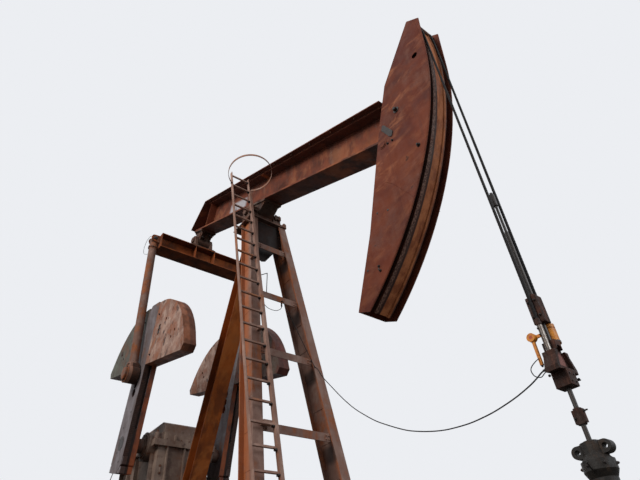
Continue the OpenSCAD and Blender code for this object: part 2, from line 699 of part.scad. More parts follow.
// A casting with a narrow neck, two wings that the bridle pulls on, and a square foot
bell = [[65, 0], [65, 128], [148, 118], [152, 158], [106, 258], [106, 300], [44, 300], [44, 400]];
module carrier_bar() {
    color("#5a3d30") translate([head_reach, 0, carrier_z]) difference() {
        union() {
            translate([-58, 0, 0]) rotate([90, 0, 90]) linear_extrude(116)
                polygon(concat(bell, [for (i = [len(bell) - 1:-1:0]) [-bell[i][0], bell[i][1]]]));
            translate([-68, -63, 0]) cube([136, 126, 132]);
        }
        translate([24, 0, 0]) rotate([90, 0, 90]) linear_extrude(60)
            polygon([[-112, 150], [-84, 240], [-26, 350], [26, 350], [84, 240], [112, 150]]);
        translate([0, 0, -1]) cylinder(d = rod_d + run_fit * 2, h = 402, $fn = 32);
        translate([-60, -78, 215]) rotate([0, 90, 0]) cylinder(d = 18, h = 120, $fn = 24);
    }
}
// The load cell sits round the far bridle socket, and its arm hangs beside the near one
cell_r = 52;
module load_cell() {
    color("#dd9a22") {
        translate([head_reach, cable_low_y, neck_z + seat]) difference() {
            union() {
                cylinder(r = cell_r, h = cell_h, $fn = 64);
                cylinder(r = cell_r + 3, h = 22, $fn = 64);
            }
            translate([0, 0, cell_h - 44]) difference() {
                cylinder(r = cell_r + 1, h = 10, $fn = 64);
                cylinder(r = cell_r - 5, h = 10, $fn = 64);
            }
        }
        translate([head_reach - 84, -118, carrier_z + 200]) {
            translate([-11, -12, 0]) cube([22, 24, 260]);
            translate([0, 0, 250]) bar_y(38, -24, 24);
            translate([0, 12, 236]) cube([69.5, 14, 28]);
        }
    }
}
module rod_clamp() {
    color("#3a2a22") translate([head_reach, 0, 0]) {
        translate([0, 0, cell_top + seat]) difference() {
            union() {
                translate([-52, -49, 0]) cube([104, 98, 265]);
                translate([0, 0, 265]) cylinder(d1 = 90, d2 = 62, h = 30);
            }
            translate([0, 0, -1]) cylinder(d = rod_d + run_fit * 2, h = 300, $fn = 32);
        }
        translate([0, 0, carrier_z - 295]) difference() {
            union() {
                cylinder(d = 66, h = 125);
                translate([-44, -21, 10]) cube([88, 42, 105]);
            }
            translate([0, 0, -1]) cylinder(d = rod_d + run_fit * 2, h = 130, $fn = 32);
        }
    }
}
module polished_rod() {
    color("#4c4540") translate([head_reach, 0, 60]) {
        cylinder(d = rod_d, h = bearing_z - 3620 - 60, $fn = 32);
        cylinder(d = rod_d - 10, h = bearing_z - 3200 - 60, $fn = 32);
        translate([0, 0, bearing_z - 3280 - 60]) cylinder(d = rod_d + 14, h = 170, $fn = 32);
        translate([0, 0, bearing_z - 3110 - 60]) cylinder(d1 = rod_d + 14, d2 = rod_d - 6, h = 20, $fn = 32);
    }
}

// The well's head, on the ground ahead of the foundation
box_z = carrier_z - box_gap;
tee_h = box_z - 950;
outlet_z = 620 + tee_h * 0.52;
module casing_head() {
    color("#3f3a36") translate([head_reach, 0, 0]) difference() {
        union() {
            cylinder(d = casing_d, h = 560);
            translate([0, 0, 480]) cylinder(d = casing_d + 150, h = 70);
            translate([0, 0, 555]) cylinder(d = casing_d + 150, h = 65);
            translate([0, 0, 548]) cylinder(d = casing_d + 20, h = 10);
            translate([0, 0, 300]) bar_y(65, -330, 330);
            for (s = [-1, 1]) translate([0, 0, 300]) bar_y(90, s * 330 - 25, s * 330 + 25);
        }
        translate([0, 0, 40]) cylinder(d = rod_d + 40, h = 600);
    }
}
module pumping_tee() {
    color("#4a4038") translate([head_reach, 0, 0]) difference() {
        union() {
            translate([0, 0, 620]) cylinder(d = 130, h = tee_h);
            translate([0, 0, 700]) cylinder(d = 190, h = 70);
            translate([0, 0, outlet_z]) bar_y(68, -230, 190);
            translate([0, 0, outlet_z]) bar_y(88, -260, -200);
        }
        translate([0, 0, 600]) cylinder(d = rod_d + 40, h = box_z);
        translate([0, 0, outlet_z]) bar_y(outlet_d / 2, -261, -60, 48);
        translate([0, 0, outlet_z]) bar_y(outlet_d / 3, -61, 0, 32);
    }
}
gland_x = 108;
module stuffing_box() {
    color("#26231f") translate([head_reach, 0, box_z]) difference() {
        union() {
            translate([0, 0, -330]) cylinder(d = 190, h = 90);
            translate([0, 0, -250]) cylinder(d1 = 190, d2 = box_d + 70, h = 50);
            translate([0, 0, -200]) cylinder(d = box_d + 70, h = 70);
            translate([0, 0, -132]) cylinder(d1 = box_d + 60, d2 = 150, h = 52);
            across(-36, 36) for (s = [-1, 1]) circle_at(s * gland_x, -50, 47);
            box([-gland_x, -36, -97], [gland_x, 36, -3]);
            translate([0, 0, -100]) cylinder(d = 160, h = 100);
        }
        across(-37, 37) for (s = [-1, 1]) circle_at(s * gland_x, -50, 21);
        translate([0, 0, -331]) cylinder(d = rod_d + run_fit * 2, h = 400, $fn = 32);
    }
}

// The crankshaft, the crank arms and their weights
module crankshaft() {
    color("#4a4340") translate([-shaft_back, 0, shaft_z]) bar_y(shaft_d / 2, -crank_face_y, crank_face_y, 64);
}
groove = 46;
module crank_outline() {
    w = crank_w / 2;
    polygon([[-w, -crank_hub + 150], [-w + 150, -crank_hub], [w - 150, -crank_hub], [w, -crank_hub + 150],
        [w, crank_tip - 40], [w - 60, crank_tip], [-w + 100, crank_tip], [-w, crank_tip - 110]]);
}
module crank_arm(side) {
    y0 = side > 0 ? crank_in_y : -crank_face_y;
    color("#747476") on_crank() difference() {
        across(y0, y0 + crank_t) difference() {
            crank_outline();
            circle_at(0, 0, shaft_d / 2 + run_fit);
            for (z = concat([crank_throw], spare_throws)) circle_at(0, z, wrist_hole_d / 2);
        }
        for (s = [-1, 1]) box([s * crank_w / 2 - 45, y0 + crank_t / 2 - groove / 2, 250],
            [s * crank_w / 2 + 45, y0 + crank_t / 2 + groove / 2, crank_tip + 1]);
    }
}
module crank_arm_near() { crank_arm(-1); }
module crank_arm_far() { crank_arm(1); }
// A weight is a slab with a straight foot, a flat on the crank and a round back
weight_arc_r = 1710;
module weight_outline() {
    w = crank_w / 2;
    x0 = 360;
    z0 = crank_tip - 30 - weight_arc_r;
    arc = [for (k = [0:12]) let (a = 90 - k * 66 / 12) [x0 + weight_arc_r * cos(a), z0 + weight_arc_r * sin(a)]];
    polygon(concat([[w, weight_from], [w, crank_tip - 35]], arc,
        [[weight_reach, weight_from + 110], [weight_reach - 70, weight_from]]));
}
module weight(side, front) {
    y0 = side > 0 ? crank_in_y : -crank_face_y;
    tint = front > 0 ? "#a58f81" : "#667060";
    color(tint) on_crank() mirror([front > 0 ? 0 : 1, 0, 0]) across(y0, y0 + crank_t) difference() {
        weight_outline();
        hull() for (z = [1945, 2065]) circle_at(crank_w / 2 + 307, z, 45, 32);
        for (p = [[854, 2162], [1433, 1836], [1304, 1729]]) circle_at(p[0], p[1], 28, 24);
    }
}
module weight_near_front() { weight(-1, 1); }
module weight_near_rear() { weight(-1, -1); }
module weight_far_front() { weight(1, 1); }
module weight_far_rear() { weight(1, -1); }

ladder_lean = atan(leg_run);
ladder_z = bearing_z + ladder_top;
ladder_x = leg_x(ladder_z) + ladder_off / cos(ladder_lean);
rail_deep = 62;
rail_thin = 12;
rung_w = 28;
module ladder() {
    long = ladder_z / cos(ladder_lean) + 200;
    color("#8b7567") {
        intersection() {
            translate([ladder_x, 0, ladder_z]) rotate([0, -ladder_lean, 0])
                for (y = [-ladder_y - rail_thin, -ladder_y - ladder_w - 2 * rail_thin])
                    box([-rail_deep / 2, y, -long], [rail_deep / 2, y + rail_thin, 90]);
            box([-3000, -3000, found_h], [6000, 3000, ladder_z + 200]);
        }
        intersection() {
            translate([ladder_x, 0, ladder_z]) rotate([0, -ladder_lean, 0])
                box([rail_deep / 2 - 8, -ladder_y, -long], [rail_deep / 2, -ladder_y + 38, -hoop_drop - 70]);
            box([-3000, -3000, found_h], [6000, 3000, ladder_z + 200]);
        }
        translate([ladder_x, 0, ladder_z]) rotate([0, -ladder_lean, 0]) for (n = [0:rungs - 1])
            box([-rung_w / 2, -ladder_y - ladder_w - 2 * rail_thin, -n * rung_pitch - rung_w / 2],
                [rung_w / 2, -ladder_y, -n * rung_pitch + rung_w / 2]);
        face = leg_front / cos(ladder_lean) + seat;
        for (d = [1500, 3000, 4500, 5850]) let (z = bearing_z - d, y = max(ladder_y + 58, leg_y(z) - 30))
            across(-y, -ladder_y) polygon([[leg_x(z - 25) + face, z - 25], [leg_x(z + 25) + face, z + 25],
                [leg_x(z) + ladder_off - rail_deep / 2 + 10, z + 25], [leg_x(z) + ladder_off - rail_deep / 2 + 10, z - 25]]);
    }
}
module ladder_hoop() {
    band = 46;
    half = (ladder_w / 2 + rail_thin + seat) * hoop_r / (hoop_r - 4);
    back = sqrt(hoop_r * hoop_r - half * half);
    turn = 180 - asin(half / hoop_r);
    color("#8b7567") translate([ladder_x, 0, ladder_z]) rotate([0, -ladder_lean, 0])
        translate([5 + back, -ladder_y - ladder_w / 2 - rail_thin, -hoop_drop - band]) rotate([0, 0, -turn]) rotate_extrude(angle = 2 * turn, $fn = 64)
            translate([hoop_r - 4, 0]) square([8, band]);
}

// The load cell's cable, from the face of the far front leg to the back of the carrier
brace_z = bearing_z - brace_drops[1];
brace_face = leg_x(brace_z) + leg_front - leg_t - 9;
cable_from = [brace_face, 64, brace_z - 35];
cable_tie = [leg_x(4000) + (leg_front + signal_d / 2) / cos(atan(leg_run)) + 0.5, 482, 4000];
cable_to = [head_reach - 58, -128, carrier_z + 150];
cable_down = [for (k = [1:9]) let (t = k / 9, a = cable_from + [52, 12, -62]) a + (cable_tie - a) * t];
cable_route = concat([cable_from, cable_from + [24, 0, 0], cable_from + [42, 4, -20], cable_from + [52, 12, -62]],
    cable_down, [[815, 478, 3962], [905, 452, 3880], [1040, 413, 3710], [1300, 371, 3430], [1545, 330, 3180], [1775, 293, 2970],
    [2000, 257, 2800], [2200, 225, 2663], [2400, 192, 2550], [2580, 162, 2455], [2750, 134, 2374],
    [2920, 107, 2310], [3080, 80, 2258], [3240, 55, 2215], [3390, 30, 2185], [3620, -7, 2155],
    [3800, -36, 2148], [3945, -60, 2150], [4090, -83, 2162], [4225, -100, 2182], [4365, -115, 2215],
    [4450, -122, 2245], [4510, -127, 2272]], [cable_to - [20, 0, 0], cable_to]);
module signal_cable() {
    color("#262424") sweep_tube(cable_route, signal_d / 2, 8);
}
function unit(v) = v / norm(v);
module sweep_tube(path, r, sides) {
    n = len(path);
    rings = [for (i = [0:n - 1]) let (t = unit(path[min(i + 1, n - 1)] - path[max(i - 1, 0)]),
        u = unit(cross(t, [0, 1, 0])), v = cross(t, u))
        [for (k = [0:sides - 1]) path[i] + r * (cos(360 * k / sides) * u + sin(360 * k / sides) * v)]];
    points = [for (ring = rings) each ring];
    walls = [for (i = [0:n - 2], k = [0:sides - 1]) let (a = i * sides + k, b = i * sides + (k + 1) % sides)
        [a, b, b + sides, a + sides]];
    polyhedron(points, concat(walls, [[for (k = [sides - 1:-1:0]) k]], [[for (k = [0:sides - 1]) (n - 1) * sides + k]]));
}

foundation();
skid_rail_near();
skid_rail_far();
skid_cross_members();
front_cross_beam();
reducer_pedestal();
reducer_case();
reducer_cover();
belt_guard();
motor();
motor_base();
brake_lever();
front_leg_near();
front_leg_far();
rear_leg();
leg_braces();
post_cap();
saddle_bearings();
ladder();
ladder_hoop();
casing_head();
pumping_tee();
stuffing_box();
signal_cable();
crankshaft();
crank_arm_near();
crank_arm_far();
weight_near_front();
weight_near_rear();
weight_far_front();
weight_far_rear();
walking_beam();
beam_cover_plate();
saddle_shaft();
tail_bearing();
head_plate_near();
head_plate_far();
head_track();
head_frame();
bridle_pin();
bridle_wrap();
equalizer();
equalizer_shaft();
pitman_near();
pitman_far();
wrist_bearing_near();
wrist_bearing_far();
bridle_lines();
bridle_sockets();
carrier_bar();
load_cell();
rod_clamp();
polished_rod();
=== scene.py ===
import math
import random

import bmesh
import bpy
from mathutils import Matrix, Vector


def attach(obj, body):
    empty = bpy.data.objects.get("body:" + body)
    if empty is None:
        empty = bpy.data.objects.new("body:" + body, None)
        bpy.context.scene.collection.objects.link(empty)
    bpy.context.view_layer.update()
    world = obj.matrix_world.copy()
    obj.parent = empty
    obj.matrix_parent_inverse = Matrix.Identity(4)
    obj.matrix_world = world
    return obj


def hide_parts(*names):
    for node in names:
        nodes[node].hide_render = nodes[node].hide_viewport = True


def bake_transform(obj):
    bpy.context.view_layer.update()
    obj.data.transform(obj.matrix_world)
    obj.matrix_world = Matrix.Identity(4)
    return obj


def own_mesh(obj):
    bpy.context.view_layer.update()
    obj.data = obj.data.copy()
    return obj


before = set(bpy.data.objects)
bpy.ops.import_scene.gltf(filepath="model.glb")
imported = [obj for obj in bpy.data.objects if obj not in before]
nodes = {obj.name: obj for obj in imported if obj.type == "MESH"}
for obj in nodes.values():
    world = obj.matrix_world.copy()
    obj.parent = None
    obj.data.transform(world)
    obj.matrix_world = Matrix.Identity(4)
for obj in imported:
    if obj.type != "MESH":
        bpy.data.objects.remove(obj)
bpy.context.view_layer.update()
print("frame loaded:", len(nodes), "solids")


def turned(x, y, z, degrees):  # a place on the object, turned about Y there
    return Matrix.Translation((x, y, z)) @ Matrix.Rotation(math.radians(degrees), 4, "Y")


ground = Matrix.Identity(4)
saddleZ = 7.4
wellX = 4.62
crankX, crankZ = -2.97, 3.691
onBeam = turned(0, 0, saddleZ, 24.08)  # forward along the beam, across, up from the bearing
onCrank = turned(crankX, 0, crankZ, 14)  # across the crank, along the shaft, out to its tip
onLadder = turned(0.2156, -0.656, 7.97, -9.61)


def onPitman(side):
    return turned(-2.6797, side * 1.188, 4.8554, -2.23)


# The camera stands low beside the well and looks back up at the beam
cameraSpot = {"at": (6.3774, -4.0002, 0.6833), "yaw": 139.23, "pitch": 39.0, "roll": 5.06, "lens": 27.849}


def makeCamera(spot):
    yaw, pitch, roll = (math.radians(spot[key]) for key in ("yaw", "pitch", "roll"))
    look = Vector((math.cos(pitch) * math.cos(yaw), math.cos(pitch) * math.sin(yaw), math.sin(pitch)))
    side = Vector((math.sin(yaw), -math.cos(yaw), 0))
    down = look.cross(side)
    right = side * math.cos(roll) + down * math.sin(roll)
    low = down * math.cos(roll) - side * math.sin(roll)
    lens = bpy.data.cameras.new("camera")
    lens.sensor_width, lens.lens = 36, spot["lens"]
    lens.clip_start, lens.clip_end = 0.05, 500
    camera = bpy.data.objects.new("camera", lens)
    camera.matrix_world = Matrix.Translation(spot["at"]) @ Matrix((right, -low, -look)).transposed().to_4x4()
    bpy.context.scene.collection.objects.link(camera)
    bpy.context.scene.camera = camera


makeCamera(cameraSpot)
bpy.context.scene.view_settings.view_transform = "Standard"
print("camera placed")


def tone(red, green, blue):  # a colour as a screen shows it
    return tuple(((c / 255 + 0.055) / 1.055) ** 2.4 for c in (red, green, blue)) + (1.0,)


class Field:  # a value that changes over a surface, with the usual signs
    def __init__(self, shader, socket):
        self.shader = shader
        self.socket = socket

    def calc(self, operation, *values):
        return self.shader.add("ShaderNodeMath", {"operation": operation}, values)

    def __add__(self, other):
        return self.calc("ADD", self, other)

    def __sub__(self, other):
        return self.calc("SUBTRACT", self, other)

    def __mul__(self, other):
        return self.calc("MULTIPLY", self, other)

    def __rsub__(self, other):
        return self.calc("SUBTRACT", other, self)

    def __pow__(self, other):
        return self.calc("POWER", self, other)

    __radd__ = __add__
    __rmul__ = __mul__

    def absolute(self):
        return self.calc("ABSOLUTE", self)

    def rise(self, start, end):  # 0 before start, 1 after end
        settings = {"interpolation_type": "SMOOTHSTEP"}
        return self.shader.add("ShaderNodeMapRange", settings, {"Value": self, "From Min": start, "From Max": end})

    def fall(self, start, end):
        return 1 - self.rise(start, end)

    def inside(self, low, high, soft):
        return self.rise(low - soft, low + soft) * self.fall(high - soft, high + soft)


class Shader:
    def __init__(self, name):
        self.material = bpy.data.materials.new(name)
        self.material.use_nodes = True
        self.tree = self.material.node_tree
        self.surface = self.tree.nodes["Principled BSDF"]
        self.place = self.add("ShaderNodeTexCoord", output="Object")
        self.facing = self.add("ShaderNodeTexCoord", output="Normal")

    def add(self, kind, settings=None, values=(), output=0):
        node = self.tree.nodes.new(kind)
        for key, value in (settings or {}).items():
            setattr(node, key, value)
        pairs = values.items() if isinstance(values, dict) else enumerate(values)
        for key, value in pairs:
            if isinstance(value, Field):
                self.tree.links.new(value.socket, node.inputs[key])
            else:
                node.inputs[key].default_value = value
        return Field(self, node.outputs[output])

    def stretched(self, x, y, z):
        return self.add("ShaderNodeVectorMath", {"operation": "MULTIPLY"}, [self.place, (x, y, z)])

    def noise(self, scale, detail=5, rough=0.6, place=None, wander=0.0):
        values = {"Vector": place or self.place, "Scale": scale, "Detail": detail, "Roughness": rough,
                  "Distortion": wander}
        return self.add("ShaderNodeTexNoise", {}, values)

    def mix(self, share, first, second, blend="MIX"):
        return self.add("ShaderNodeMix", {"data_type": "RGBA", "blend_type": blend}, {0: share, 6: first, 7: second}, 2)

    def parts(self, vector):
        return [self.add("ShaderNodeSeparateXYZ", {}, [vector], k) for k in range(3)]

    def feed(self, socket, value):
        if isinstance(value, Field):
            self.tree.links.new(value.socket, self.surface.inputs[socket])
        else:
            self.surface.inputs[socket].default_value = value

    def relief(self, height, depth, strength=1.0, round_=0.0):
        values = {"Height": height, "Distance": depth, "Strength": strength}
        if round_:
            values["Normal"] = self.add("ShaderNodeBevel", {"samples": 4}, {"Radius": round_})
        self.feed("Normal", self.add("ShaderNodeBump", {}, values))


# Old paint that rust eats from below: broad scabs, soft clouds and runs down the faces. Colours are as on a screen
plain = {
    "patch": 1.8, "run": 7.0, "cover": 0.5, "soft": 0.06, "runs": 0.3, "fine": 0.16,
    "paint": (134, 108, 96), "worn": (114, 88, 76),
    "rust": (124, 62, 34), "rustDark": (66, 34, 24), "rustLight": (166, 96, 54),
    # under: share of the darkening on undersides, painted shade mixed with real grime
    "grime": (36, 25, 20), "grimeShare": 0.45, "under": 0.5, "dust": (150, 122, 104), "dustShare": 0.25,
    "rough": 0.8, "metal": 0.0, "pit": 0.0016, "edge": 0.004, "marks": None,
}


def weathered(name, **changes):
    look = {**plain, **changes}
    look = {key: tone(*value) if isinstance(value, tuple) else value for key, value in look.items()}
    s = Shader(name)
    up = s.parts(s.facing)[2]
    broad = s.noise(look["patch"], 7, 0.55, wander=0.3)
    clouds = s.noise(look["patch"] * 2.3, 5, 0.5, s.stretched(1, 1, 0.7))
    fine = s.noise(look["patch"] * 8, 5, 0.6)
    runs = s.noise(look["run"], 5, 0.62, s.stretched(1, 1, 0.08))
    grain = s.noise(60, 4, 0.62)
    paint = s.mix(clouds.rise(0.38, 0.64), look["paint"], look["worn"])
    paint = s.mix(grain.rise(0.4, 0.8) * 0.22, paint, look["dust"])
    rust = s.mix((clouds * 0.75 + fine * 0.25).rise(0.34, 0.62), look["rustDark"], look["rust"])
    rust = s.mix((runs * 0.5 + broad * 0.5).rise(0.5, 0.64) * 0.75, rust, look["rustLight"])
    rust = s.mix(fine.rise(0.5, 0.72) * 0.3, rust, look["rustDark"])
    share = broad * (1 - look["runs"] - look["fine"]) + runs * look["runs"] + fine * look["fine"]
    start = 0.5 + (0.5 - look["cover"]) * 0.3
    eaten = share.rise(start - look["soft"], start + look["soft"])
    colour = s.mix(eaten, paint, rust)
    rim = share.inside(start - look["soft"] * 1.6, start, look["soft"] * 0.4)
    colour = s.mix(rim * 0.3, colour, look["rustDark"])
    drip = runs.rise(0.54, 0.7) * broad.rise(0.35, 0.6)
    colour = s.mix(drip * look["grimeShare"], colour, look["grime"])
    # Undersides darken towards the grime colour: painted shade, mixed with real grime
    colour = s.mix(up.fall(-0.95, -0.5) * look["under"], colour, look["grime"])
    colour = s.mix(up.rise(0.4, 0.95) * fine.rise(0.3, 0.6) * look["dustShare"], colour, look["dust"])
    if look["marks"]:
        colour = look["marks"](s, colour, broad, clouds, runs)
    s.feed("Base Color", colour)
    s.feed("Roughness", (fine * 0.3 + look["rough"] - 0.15) - 0.12 * (1 - eaten))
    s.surface.inputs["Metallic"].default_value = look["metal"]
    s.surface.inputs["Specular IOR Level"].default_value = 0.3
    s.relief(fine * 0.6 + eaten * 0.25 + grain * 0.2, look["pit"] * 2, 0.8, look["edge"])
    return s.material


# What only one piece shows, laid over its weathering
def beamSpot(s):  # the place along and across the walking beam
    u = s.add("ShaderNodeVectorMath", {"operation": "DOT_PRODUCT"}, [s.place, (0.913, 0, -0.408)], "Value") + 3.019
    v = s.add("ShaderNodeVectorMath", {"operation": "DOT_PRODUCT"}, [s.place, (0.408, 0, 0.913)], "Value") - 6.756
    return u, v


def headMarks(s, colour, broad, clouds, runs):
    u, v = beamSpot(s)
    drift = s.noise(0.8, 4, 0.6, s.stretched(1, 1, 1.6), 0.5)
    wisps = s.noise(2.6, 6, 0.66, s.stretched(1, 1, 2.2), 0.5)
    aft = u.fall(3.85, 4.3) * v.rise(-1.4, 0.2) * v.fall(1.7, 2.2)
    colour = s.mix(drift.rise(0.46, 0.62) * 0.5, colour, tone(122, 61, 35))
    colour = s.mix(wisps.rise(0.5, 0.68) * (aft * 0.6 + 0.22), colour, tone(160, 98, 64))
    colour = s.mix(drift.fall(0.38, 0.5) * 0.55, colour, tone(76, 30, 23))
    colour = s.mix(runs.rise(0.55, 0.66) * 0.3, colour, tone(84, 38, 30))
    return s.mix(s.noise(4.5, 3, 0.5).rise(0.68, 0.72) * 0.7, colour, tone(52, 27, 20))


def trackMarks(s, colour, broad, clouds, runs):
    y = s.parts(s.place)[1]
    flecks = s.noise(42, 4, 0.6).rise(0.42, 0.62)
    near = s.mix(flecks, tone(58, 36, 29), tone(128, 98, 84))
    far = s.mix(runs.rise(0.4, 0.6), tone(134, 72, 38), tone(176, 108, 66))
    far = s.mix(y.rise(0.075, 0.085) * s.parts(s.place)[2].rise(6.8, 8.6) * 0.7, far, tone(182, 134, 110))
    colour = s.mix(y.inside(-0.131, -0.064, 0.004) * 0.85, colour, near)
    # Painted shade: a near-black strip where the groove in the track lies in shadow
    colour = s.mix(y.inside(-0.064, -0.03, 0.004) * 0.85, colour, tone(40, 23, 18))
    colour = s.mix(y.inside(-0.03, 0.116, 0.005) * 0.85, colour, far)
    # Painted shade: the outer edges of the track go near-black, for the channels and side plates in shadow
    return s.mix(y.absolute().rise(0.128, 0.14) * 0.92, colour, tone(30, 19, 16))


def rimMarks(near, far):  # the edge of a cast weight, in two shades
    def marks(s, colour, broad, clouds, runs):
        edge = s.parts(s.facing)[1].absolute().fall(0.5, 0.8)
        wide = s.parts(s.place)[1].absolute()
        pits = s.noise(9, 3, 0.5, s.stretched(1, 1, 0.6)).rise(0.61, 0.66)
        colour = s.mix(pits * 0.8, colour, s.mix(pits, far, tone(54, 36, 30)))
        colour = s.mix(s.noise(3.2, 5, 0.62).rise(0.54, 0.62) * 0.45, colour, near)
        rim = s.mix(wide.rise(0.93, 0.96), far, near)
        rim = s.mix(clouds.rise(0.42, 0.62) * 0.55, rim, tone(48, 30, 24))
        return s.mix(edge * 0.88, colour, rim)
    return marks


def crankMarks(s, colour, broad, clouds, runs):
    edge = s.parts(s.facing)[1].absolute().fall(0.5, 0.8)
    wide = s.parts(s.place)[1].absolute()
    strip = s.mix(clouds.rise(0.35, 0.6), tone(96, 50, 30), tone(156, 82, 44))
    strip = s.mix(wide.rise(0.94, 0.96), strip, tone(66, 44, 37))
    colour = s.mix(edge * 0.9, colour, strip)
    return s.mix(wide.inside(0.925, 0.975, 0.003) * edge * 0.9, colour, tone(26, 19, 17))


# Painted shadow: the cap goes near-black below z 7.1, where it sits in shade under the beam
def capShadeBelow(s, colour, broad, clouds, runs):
    return s.mix(s.parts(s.place)[2].fall(7.1, 7.125) * 0.93, colour, tone(17, 12, 11))


def beamMarks(s, colour, broad, clouds, runs):
    u, v = beamSpot(s)
    glow = u.inside(2.2, 3.6, 0.5) * v.fall(0.4, 0.75) * clouds.rise(0.35, 0.6)
    colour = s.mix(glow * 0.6, colour, tone(168, 98, 60))
    wisps = s.noise(2.4, 5, 0.6, s.stretched(1, 1, 0.5), 0.5).rise(0.52, 0.66)
    colour = s.mix(wisps * v.inside(0.3, 0.8, 0.1) * 0.5, colour, tone(160, 104, 72))
    bare = u.inside(-1.74, -0.96, 0.07) * v.inside(0.5, 0.73, 0.04) * (clouds * 0.5 + runs * 0.5).rise(0.36, 0.46)
    colour = s.mix(bare * 0.9, colour, tone(186, 188, 196))
    spot = u.inside(-0.15, -0.03, 0.05) * v.inside(0.86, 0.95, 0.03)
    return s.mix(spot * 0.7, colour, tone(206, 120, 66))


def caseMarks(s, colour, broad, clouds, runs):
    streak = s.noise(5, 4, 0.6, s.stretched(1, 1, 0.3)).rise(0.56, 0.7)
    colour = s.mix(streak * 0.3, colour, tone(112, 72, 50))
    return s.mix(s.noise(6, 4, 0.6).rise(0.64, 0.7) * 0.6, colour, tone(50, 38, 34))


def rearBlotchesAndShade(s, colour, broad, clouds, runs):
    side = s.parts(s.facing)[1].fall(-0.7, -0.4)
    blotch = s.noise(1.6, 5, 0.6, s.stretched(1, 1, 0.45), 0.4)
    colour = s.mix(blotch.rise(0.5, 0.58) * 0.6, colour, tone(184, 106, 48))
    colour = s.mix(blotch.inside(0.3, 0.45, 0.03) * 0.6, colour, tone(86, 40, 16))
    # Painted shade: faces turned towards -y go dark brown, as the web between the flanges lies in shadow
    return s.mix(side * 0.55, colour, tone(74, 36, 16))


def legMarks(s, colour, broad, clouds, runs):
    x, y, z = s.parts(s.place)
    side = s.parts(s.facing)[1]
    ahead = x + z * 0.1693 - 1.3265
    back = ahead.fall(-0.14, -0.02) * y.fall(-0.1, 0.1) * clouds.rise(0.25, 0.45)
    colour = s.mix(back * 0.7, colour, tone(170, 96, 50))
    corner = ahead.rise(-0.04, 0.06) * side.fall(-0.8, -0.5) * y.rise(-0.1, 0.1) * clouds.rise(0.35, 0.5)
    colour = s.mix(corner * 0.7, colour, tone(166, 92, 48))
    # Painted shadow: dark bands on the far leg's side faces just below each brace
    under = z.inside(6.08, 6.31, 0.05)
    for level in (5.194, 4.074, 2.88):
        under = under + z.inside(level - 0.3, level - 0.07, 0.05)
    under = under * side.absolute().rise(0.6, 0.8) * y.rise(0.1, 0.3)
    return s.mix(under * 0.75, colour, tone(40, 28, 24))


def wristMarks(s, colour, broad, clouds, runs):
    wide = s.parts(s.place)[1].absolute()
    colour = s.mix(wide.inside(1.235, 1.296, 0.004) * 0.75, colour, tone(148, 116, 102))
    return s.mix(wide.fall(1.225, 1.235) * 0.85, colour, tone(38, 27, 23))


def spacerMarks(s, colour, broad, clouds, runs):
    lit = s.parts(s.facing)[0].inside(0.62, 0.9, 0.05)
    return s.mix((1 - lit) * 0.85, colour, s.mix(clouds.rise(0.5, 0.6), tone(40, 34, 31), tone(104, 90, 80)))


def pocketMarks(s, colour, broad, clouds, runs):
    x, y, z = s.parts(s.place)
    pocket = x.inside(4.63, 4.66, 0.004) * y.absolute().fall(0.05, 0.09) * z.inside(2.29, 2.42, 0.03)
    return s.mix(pocket * clouds.rise(0.3, 0.55) * 0.8, colour, tone(160, 110, 102))


